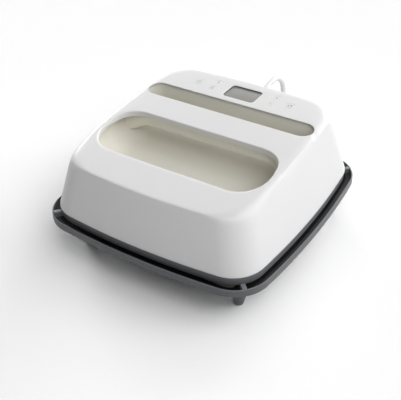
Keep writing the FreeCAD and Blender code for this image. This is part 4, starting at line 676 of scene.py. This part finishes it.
def spline_points(corners):
    """Points along a smooth spline through control points, read back from a curve that has no thickness."""
    curve = bpy.data.curves.new("cord_line", "CURVE")
    curve.dimensions = "3D"
    line = curve.splines.new("NURBS")
    line.points.add(len(corners) - 1)
    for point, place in zip(line.points, corners * MM):
        point.co = (*place, 1)
    line.order_u = 3
    line.use_endpoint_u = True
    line.resolution_u = 6
    holder = bpy.data.objects.new("cord_line", curve)
    bpy.context.scene.collection.objects.link(holder)
    mesh = bpy.data.meshes.new_from_object(holder)
    points = np.empty(len(mesh.vertices) * 3)
    mesh.vertices.foreach_get("co", points)
    bpy.data.objects.remove(holder)
    bpy.data.curves.remove(curve)
    bpy.data.meshes.remove(mesh)
    return points.reshape(-1, 3) / MM


def tube_rows(path, radius):
    """A round section carried along a path by frames that don't twist: each normal is the last one, made square
    to the new direction."""
    ahead = np.gradient(path, axis=0)
    ahead /= np.linalg.norm(ahead, axis=1)[:, None]
    normal = np.cross(ahead[0], [1.0, 0.2, 0.1])
    normals = []
    for direction in ahead:
        normal = normal - direction * (normal @ direction)
        normal /= np.linalg.norm(normal)
        normals.append(normal)
    normals = np.array(normals)
    sides = np.cross(ahead, normals)
    angles = full_turn(20)
    ring = np.cos(angles)[None, :, None] * normals[:, None] + np.sin(angles)[None, :, None] * sides[:, None]
    return path[:, None] + radius * ring


def make_cord(material):
    """The whole lead, from the relief to the plug."""
    path = spline_points(cord_corners()[0])
    runs = np.linalg.norm(np.diff(path, axis=0), axis=1)
    path = path[np.concatenate([[True], runs > 0.01])]
    rows = tube_rows(path, CORD_RADIUS)
    cord = new_piece("mains_lead", rows, capped_tube(*rows.shape[:2]), material, None, ["cord_run", "cord_coil"])
    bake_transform(cord)


def section_along(start, heading, stations):
    """Rounded sections along a level line: each station is (distance, half width, half height, squareness), and a
    section's point is a superellipse of that squareness."""
    side, angles = np.array([-heading[1], heading[0], 0]), full_turn(48)
    rows = []
    for distance, wide, high, square in stations:
        across, up = (np.sign(part) * np.abs(part) ** (2 / square) * size
                      for part, size in ((np.cos(angles), wide), (np.sin(angles), high)))
        rows.append(start + heading * distance + across[:, None] * side + up[:, None] * np.array([0, 0, 1.0]))
    return np.stack(rows)


def make_plug(material):
    """Moulded plug: a ribbed boot that swells into a body with a finger waist."""
    _, end, heading = cord_corners()
    heading = heading * np.array([1, 1, 0])
    heading /= np.linalg.norm(heading)
    start = end + heading * COIL_TAIL
    high = start[2] - 0.1
    stations = [(0, 3.6, 3.6, 2.0), (0.6, 4.6, 4.6, 2.0)]
    for rib in range(5):
        base, size = 1.2 + 3.4 * rib, 4.7 + 0.5 * rib
        stations += [(base + along, size + wider, size + wider, 2.1)
                     for along, wider in ((0, 0), (2.2, 0.15), (2.5, -0.7), (3.1, -0.6))]
    stations += [(20, 8.2, 7.4, 2.3), (23, 10.4, 9.4, 2.8), (27, 11.4, high - 0.6, 3.4), (34, 10.8, high - 0.9, 3.6),
                 (41, 11.3, high - 0.4, 3.8), (46, 11.8, high, 4.2), (49, 11.7, high - 0.1, 4.2),
                 (49.8, 11.2, high - 0.6, 4.0), (50, 10.5, high - 1.2, 4.0)]
    rows = section_along(start, heading, stations)
    return new_piece("plug_moulding", rows, capped_tube(*rows.shape[:2]), material, "base", ["plug_body"], 45)


def make_strain_relief(material):
    """Tapered boot with rings, along a line square to the rear wall."""
    stations = [(-5.6, 8.9), (-2.9, 8.9), (-2.8, 5.9), (0.3, 5.9), (0.5, 7.0), (1.6, 7.0), (2.2, 6.3)]
    for ring in range(4):
        base, size = 2.8 + 3.0 * ring, 6.3 - 0.5 * ring
        stations += [(base, size), (base + 1.8, size - 0.2), (base + 2.1, size - 0.9), (base + 2.8, size - 1.0)]
    stations += [(14.9, 4.5), (15.6, 4.35), (16.0, 3.9), (16.0, 3.3)]
    distance, radius = np.array(stations).T[:, :, None, None]
    angles, across = full_turn(40), np.array([1.0, 0, 0])
    ring = np.cos(angles)[:, None] * across + np.sin(angles)[:, None] * np.cross(OUTWARD, across)
    rows = GLAND + distance * OUTWARD + radius * ring
    new_piece("cord_boot", rows, capped_tube(*rows.shape[:2]), material, "press", ["strain_relief"], 45)


def make_rests(material):
    """Corner rests with a guide, each a rounded block across the corner of the base."""
    ledge, top, guide_top, middle = RIM_TOP - 6.4, FRAME_LOW - 0.3, RIM_TOP - 0.1, 167
    outline = rounded_path([(159, ledge), (159, top, 1.0), (169.2, top, 0.5), (169.2, guide_top, 0.8),
                            (178.0, guide_top, 0.4), (178.0, ledge)], 1, 4)
    parts = []
    for quarter in range(4):
        angle = math.pi / 4 + quarter * math.pi / 2
        along = np.array([math.cos(angle), math.sin(angle)])
        side = np.array([-along[1], along[0]])
        rows = []
        for offset, shrink in ((-2.6, 0.5), (-2.3, 0.1), (-1.8, 0), (1.8, 0), (2.3, 0.1), (2.6, 0.5)):
            reach = outline[:, 0] + shrink * np.sign(middle - outline[:, 0])
            flat = reach[:, None] * along + offset * side
            rows.append(np.column_stack([flat, outline[:, 1] - shrink * (outline[:, 1] > ledge + 0.5)]))
        parts.append((rows, capped_tube(len(rows), len(outline))))
    new_piece("corner_guides", *join(parts), material, "base", ["corner_rests"], 45)


def make_tie(material):
    """Flat strap round the coil's turns, with rounded corners and edges."""
    low, high = span("cord_tie")
    middle, corner, half_thickness = (low + high) / 2, 3.5, 0.25
    half_x, _, half_z = (high - low) / 2 - half_thickness
    outline = rounded_rectangle(-half_x, half_x, -half_z, half_z, corner, corner, 8, 8)
    section = [(-5, -0.2), (-4.9, 0.2), (4.9, 0.2), (5, -0.2), (4.9, -0.22), (-4.9, -0.22)]
    rows = []
    for along, out in section:
        flat = ring_points(outline, out)
        rows.append(np.column_stack([middle[0] + flat[:, 0], np.full(len(flat), middle[1] + along),
                                     middle[2] + flat[:, 1]]))
    rows = np.stack(rows, 1)
    faces = grid_faces(*rows.shape[:2], close_rows=True, close_columns=True)
    return new_piece("cord_strap", rows, faces, material, "base", ["cord_tie"], 40)


# Materials
def wire(tree, *runs):
    """Link sockets. Each run is a node, its output, a second node and its input."""
    for source, output, target, entry in runs:
        tree.links.new(source.outputs[output], target.inputs[entry])


def preset(node, **values):
    """Set inputs of a node. In the names here an underscore stands for a space."""
    for name, value in values.items():
        node.inputs[name.replace("_", " ")].default_value = value


def new_group(name, entries, results):
    """A node group with number inputs, each a name and its usual value, and number outputs."""
    group = bpy.data.node_groups.new(name, "ShaderNodeTree")
    for entry, value in entries:
        group.interface.new_socket(name=entry, in_out="INPUT", socket_type="NodeSocketFloat").default_value = value
    for result in results:
        group.interface.new_socket(name=result, in_out="OUTPUT", socket_type="NodeSocketFloat")
    return group, group.nodes.new("NodeGroupInput"), group.nodes.new("NodeGroupOutput")


def grain_group():
    """Fine moulded grain: fine noise gives a height, and a slow cloud gives an uneven mask."""
    group, entry, leave = new_group("moulded_grain", (("Grain size", 900.0), ("Cloud size", 14.0)),
                                    ("Height", "Cloud"))
    place = group.nodes.new("ShaderNodeTexCoord")
    for size, detail, result in (("Grain size", 3.0, "Height"), ("Cloud size", 2.0, "Cloud")):
        noise = group.nodes.new("ShaderNodeTexNoise")
        preset(noise, Detail=detail)
        wire(group, (place, "Object", noise, "Vector"), (entry, size, noise, "Scale"), (noise, "Fac", leave, result))
    return group


def edge_wear_group():
    """Mask of handled edges: the surface's pointiness, broken up by noise."""
    group, entry, leave = new_group("edge_wear", (("Low", 0.52), ("High", 0.60)), ("Mask",))
    shape, place, breakup, ramp, product = (group.nodes.new(f"ShaderNode{kind}") for kind in (
        "NewGeometry", "TexCoord", "TexNoise", "MapRange", "Math"))
    product.operation = "MULTIPLY"
    preset(breakup, Scale=180.0)
    wire(group, (place, "Object", breakup, "Vector"), (shape, "Pointiness", ramp, "Value"),
         (entry, "Low", ramp, "From Min"), (entry, "High", ramp, "From Max"), (ramp, "Result", product, 0),
         (breakup, "Fac", product, 1), (product, "Value", leave, "Mask"))
    return group


GRAIN = grain_group()
WEAR = edge_wear_group()
COAT_ROUGHNESS, BUMP_STRENGTH = 0.12, 0.35


def tint(channels):
    """A colour written as the eye sees it, from 0 to 255, as the linear values that a shader takes."""
    channels = np.array(channels) / 255
    return tuple(np.where(channels <= 0.04045, channels / 12.92, ((channels + 0.055) / 1.055) ** 2.4))


def surface(name, colour, second, roughness, roughness_range=0.06, grain=900.0, cloud=14.0, depth=0.02, metallic=0.0,
            coat=0.0, wear=0.0):
    """A procedural finish: colour between two near shades by the cloud, grain as bump, uneven roughness, and
    edges that are a little lighter where wear is above 0."""
    material = bpy.data.materials.new(name)
    material.use_nodes = True
    tree = material.node_tree
    colour, second = tint(colour), tint(second)
    shader = tree.nodes["Principled BSDF"]
    preset(shader, Metallic=metallic, Coat_Weight=coat, Coat_Roughness=COAT_ROUGHNESS)
    texture, blend, uneven, bump = (
        tree.nodes.new(f"ShaderNode{kind}") for kind in ("Group", "Mix", "MapRange", "Bump"))
    texture.node_tree = GRAIN
    preset(texture, Grain_size=grain, Cloud_size=cloud)
    blend.data_type = "RGBA"
    preset(blend, A=(*colour, 1), B=(*second, 1))
    wire(tree, (texture, "Cloud", blend, "Factor"))
    finish = blend
    if wear > 0:
        mask, finish = tree.nodes.new("ShaderNodeGroup"), tree.nodes.new("ShaderNodeMix")
        mask.node_tree = WEAR
        finish.data_type = "RGBA"
        preset(finish, B=(*[min(1, channel + wear) for channel in second], 1))
        wire(tree, (blend, "Result", finish, "A"), (mask, "Mask", finish, "Factor"))
    preset(uneven, To_Min=roughness - roughness_range, To_Max=roughness + roughness_range)
    preset(bump, Strength=BUMP_STRENGTH, Distance=depth * MM)
    wire(tree, (finish, "Result", shader, "Base Color"), (texture, "Cloud", uneven, "Value"),
         (uneven, "Result", shader, "Roughness"), (texture, "Height", bump, "Height"),
         (bump, "Normal", shader, "Normal"))
    return material


SHELL_WHITE = surface("shell_white_plastic", (216, 216, 216), (218, 218, 218), 0.46, 0.03, depth=0.02)
BUTTON_WHITE = surface("button_white_plastic", (216, 216, 216), (219, 219, 219), 0.40, 0.03, depth=0.015)
BEIGE = surface("handle_beige_plastic", (224, 222, 212), (220, 217, 206), 0.55, 0.04, depth=0.03)
BAND = surface("frame_dark_plastic", (112, 113, 117), (106, 107, 111), 0.42, 0.05, depth=0.03, wear=0.05)
BASE = surface("base_grey_plastic", (92, 93, 96), (85, 86, 89), 0.40, 0.05, depth=0.03, wear=0.06)
# Near black inside the base's lip: painted shade for the gap under the press, not a colour of the base.
TRAY_GAP_SHADE = surface("base_gap_painted_shade", (34, 34, 36), (28, 28, 30), 0.7, 0.05, 700, 20, 0.04)
RUBBER = surface("foot_rubber", (98, 102, 104), (90, 94, 96), 0.7, 0.06, 600, 20, 0.05)
LENS = surface("display_lens_gloss", (134, 133, 129), (131, 130, 126), 0.3, 0.02, depth=0.0, coat=0.4)
# Dark grey down the display window's walls: painted shade of the recess, not a part's own colour.
RECESS_SHADE = surface("display_recess_painted_shade", (84, 84, 86), (76, 76, 78), 0.7, 0.04, 900, 30, 0.02)
START_SIGN = surface("printed_dark_ink", (84, 84, 86), (78, 78, 80), 0.6, 0.03, depth=0.01)
SIGN = surface("printed_grey_ink", (150, 150, 150), (142, 142, 142), 0.6, 0.03, depth=0.01)
CORD = surface("white_lead_sheath", (224, 224, 224), (219, 219, 219), 0.42, 0.04, 500, 30, 0.04)
STRAP = surface("black_hook_strap", (38, 38, 40), (52, 52, 54), 0.9, 0.05, 1600, 40, 0.12)
STEEL = surface("zinc_steel", (176, 178, 182), (160, 163, 168), 0.32, 0.08, 1200, 30, 0.01, metallic=1.0)
BRASS = surface("plug_brass", (214, 184, 118), (200, 170, 104), 0.25, 0.06, 1200, 40, 0.01, metallic=1.0)
PLATE = surface("plate_non_stick", (62, 62, 64), (54, 54, 56), 0.38, 0.05, 1400, 18, 0.04)
FELT = surface("heat_proof_felt", (96, 97, 100), (74, 75, 78), 0.95, 0.03, 700, 50, 0.5)
FIBRE = surface("mineral_fibre", (222, 217, 203), (205, 199, 184), 0.95, 0.03, 420, 35, 0.5)
CERAMIC = surface("plain_ceramic", (232, 228, 216), (222, 217, 204), 0.6, 0.05, 500, 25, 0.05)
BOARD = surface("circuit_board_green", (34, 92, 56), (26, 78, 46), 0.35, 0.06, 1500, 60, 0.02, coat=0.2)
PART = surface("component_black", (34, 34, 36), (44, 44, 46), 0.5, 0.06, 900, 40, 0.03)
SCREEN_PART = surface("display_module_grey", (140, 142, 138), (128, 130, 126), 0.4, 0.04, 900, 40, 0.01)

CAD_FINISHES = (
    (FIBRE, "base_core insulation_blanket"),
    (FELT, "base_mat"),
    (SCREEN_PART, "display_module"),
    (BOARD, "control_board power_board"),
    (PLATE, "heat_plate"),
    (BRASS, "plug_pins"),
    (CERAMIC, "temperature_sensor thermal_fuse plate_standoffs"),
    (STEEL, "board_screws heating_element element_clamps heat_shield plate_studs frame_screws tub_screws grip_screws "
            "heat_sink"),
    (PART, "button_switches buzzer power_board_legs power_relay supply_transformer filter_capacitor terminal_block "
           "cord_clamp"),
)


def finish_cad_nodes():
    """Give the CAD nodes that are shown as they are their finishes."""
    for material, nodes in CAD_FINISHES:
        for node in nodes.split():
            slots = bpy.data.objects[node].data.materials
            slots.clear()
            slots.append(material)


# Stage
def camera_axes():
    """Right, up and back directions of the camera, from its azimuth, elevation and roll."""
    azimuth, elevation, roll = np.radians([CAMERA_AZIMUTH, CAMERA_ELEVATION, CAMERA_ROLL])
    level = math.cos(elevation)
    back = np.array([math.sin(azimuth) * level, -math.cos(azimuth) * level, math.sin(elevation)])
    right = np.array([math.cos(azimuth), math.sin(azimuth), 0])
    up = np.cross(back, right)
    return right * math.cos(roll) + up * math.sin(roll), up * math.cos(roll) - right * math.sin(roll), back


def make_camera():
    axes = camera_axes()
    data = bpy.data.cameras.new("camera")
    data.lens, data.sensor_width, data.sensor_fit = CAMERA_LENS, SENSOR, "HORIZONTAL"
    data.clip_start, data.clip_end = 0.01, 50
    camera = bpy.data.objects.new("camera", data)
    place = Matrix.Translation(Vector((CAMERA_TARGET + axes[2] * CAMERA_DISTANCE) * MM))
    camera.matrix_world = place @ Matrix(np.column_stack(axes).tolist()).to_4x4()
    bpy.context.scene.collection.objects.link(camera)
    bpy.context.scene.camera = camera


def towards(azimuth, elevation):
    """Direction of a lamp from the object. The azimuth is measured from +X towards +Y, in degrees."""
    across = math.cos(math.radians(elevation))
    return Vector((across * math.cos(math.radians(azimuth)), across * math.sin(math.radians(azimuth)),
                   math.sin(math.radians(elevation))))


def add_lamp(name, data, direction, distance=2.0):
    lamp = bpy.data.objects.new(name, data)
    lamp.location = Vector((0, 0, LAMP_AIM)) + direction * distance
    lamp.rotation_euler = direction.to_track_quat("Z", "Y").to_euler()
    bpy.context.scene.collection.objects.link(lamp)


def far_light(name, azimuth, elevation, strength, spread):
    """Even light from one side. The spread is how wide its source looks, in degrees."""
    data = bpy.data.lights.new(name, "SUN")
    data.energy, data.angle = strength, math.radians(spread)
    add_lamp(name, data, towards(azimuth, elevation))


def near_light(name, azimuth, elevation, strength, distance, size):
    """Round panel close to the object, so that its light falls off across it. The strength is that at the middle."""
    data = bpy.data.lights.new(name, "AREA")
    data.shape, data.size, data.energy = "DISK", size, math.pi * distance ** 2 * strength
    add_lamp(name, data, towards(azimuth, elevation), distance)


def make_world():
    """White where the camera, glass or a gloss sees it, and no light on the object besides its gloss."""
    world = bpy.data.worlds.new("studio")
    bpy.context.scene.world = world
    world.use_nodes = True
    tree = world.node_tree
    background = tree.nodes["Background"]
    preset(background, Color=(1, 1, 1, 1))
    rays, direct, seen = (tree.nodes.new(f"ShaderNode{kind}") for kind in ("LightPath", "Math", "Math"))
    direct.operation = seen.operation = "MAXIMUM"
    wire(tree, (rays, "Is Camera Ray", direct, 0), (rays, "Is Transmission Ray", direct, 1),
         (direct, "Value", seen, 0), (rays, "Is Glossy Ray", seen, 1), (seen, "Value", background, "Strength"))


def make_floor():
    """Plain pale floor that the camera sees as white, with the object's shadow on it."""
    size, pale, white = 6.0, (0.80, 0.80, 0.80, 1), (1.0, 1.0, 1.0, 1)
    mesh = bpy.data.meshes.new("floor")
    mesh.from_pydata([(-size, -size, 0), (size, -size, 0), (size, size, 0), (-size, size, 0)], [], [(0, 1, 2, 3)])
    material = bpy.data.materials.new("pale_floor")
    material.use_nodes = True
    tree = material.node_tree
    shader = tree.nodes["Principled BSDF"]
    preset(shader, Roughness=0.9, Specular_IOR_Level=0.1)
    rays, paint = tree.nodes.new("ShaderNodeLightPath"), tree.nodes.new("ShaderNodeMix")
    paint.data_type = "RGBA"
    preset(paint, A=pale, B=white)
    wire(tree, (rays, "Is Camera Ray", paint, "Factor"), (paint, "Result", shader, "Base Color"))
    mesh.materials.append(material)
    floor = bpy.data.objects.new("floor", mesh)
    bpy.context.scene.collection.objects.link(floor)


make_camera()
make_floor()
make_world()
far_light("key", 30, 45, 0.95, 40)
far_light("key_low", 30, 15, 0.6, 30)
far_light("rear_right", 60, 15, 0.62, 30)
far_light("rear", 90, 15, 1.75, 30)
far_light("rear_left", 150, 15, 1.84, 30)
far_light("top", 0, 88, 0.46, 50)
far_light("front_right", 330, 45, 0.82, 40)
near_light("near_front", 315, 45, 0.54, 0.7, 0.4)
bpy.context.scene.view_settings.view_transform = "Standard"

make_shell(SHELL_WHITE)
make_frame(BAND)
make_tray(BASE, TRAY_GAP_SHADE)
make_feet(RUBBER)
make_tub(BEIGE)
make_grip(BEIGE)
make_buttons(BUTTON_WHITE, SIGN, START_SIGN)
make_screen(LENS, RECESS_SHADE)
make_rests(BAND)
make_strain_relief(CORD)
plug = make_plug(CORD)
tie = make_tie(STRAP)
make_cord(CORD)
finish_cad_nodes()
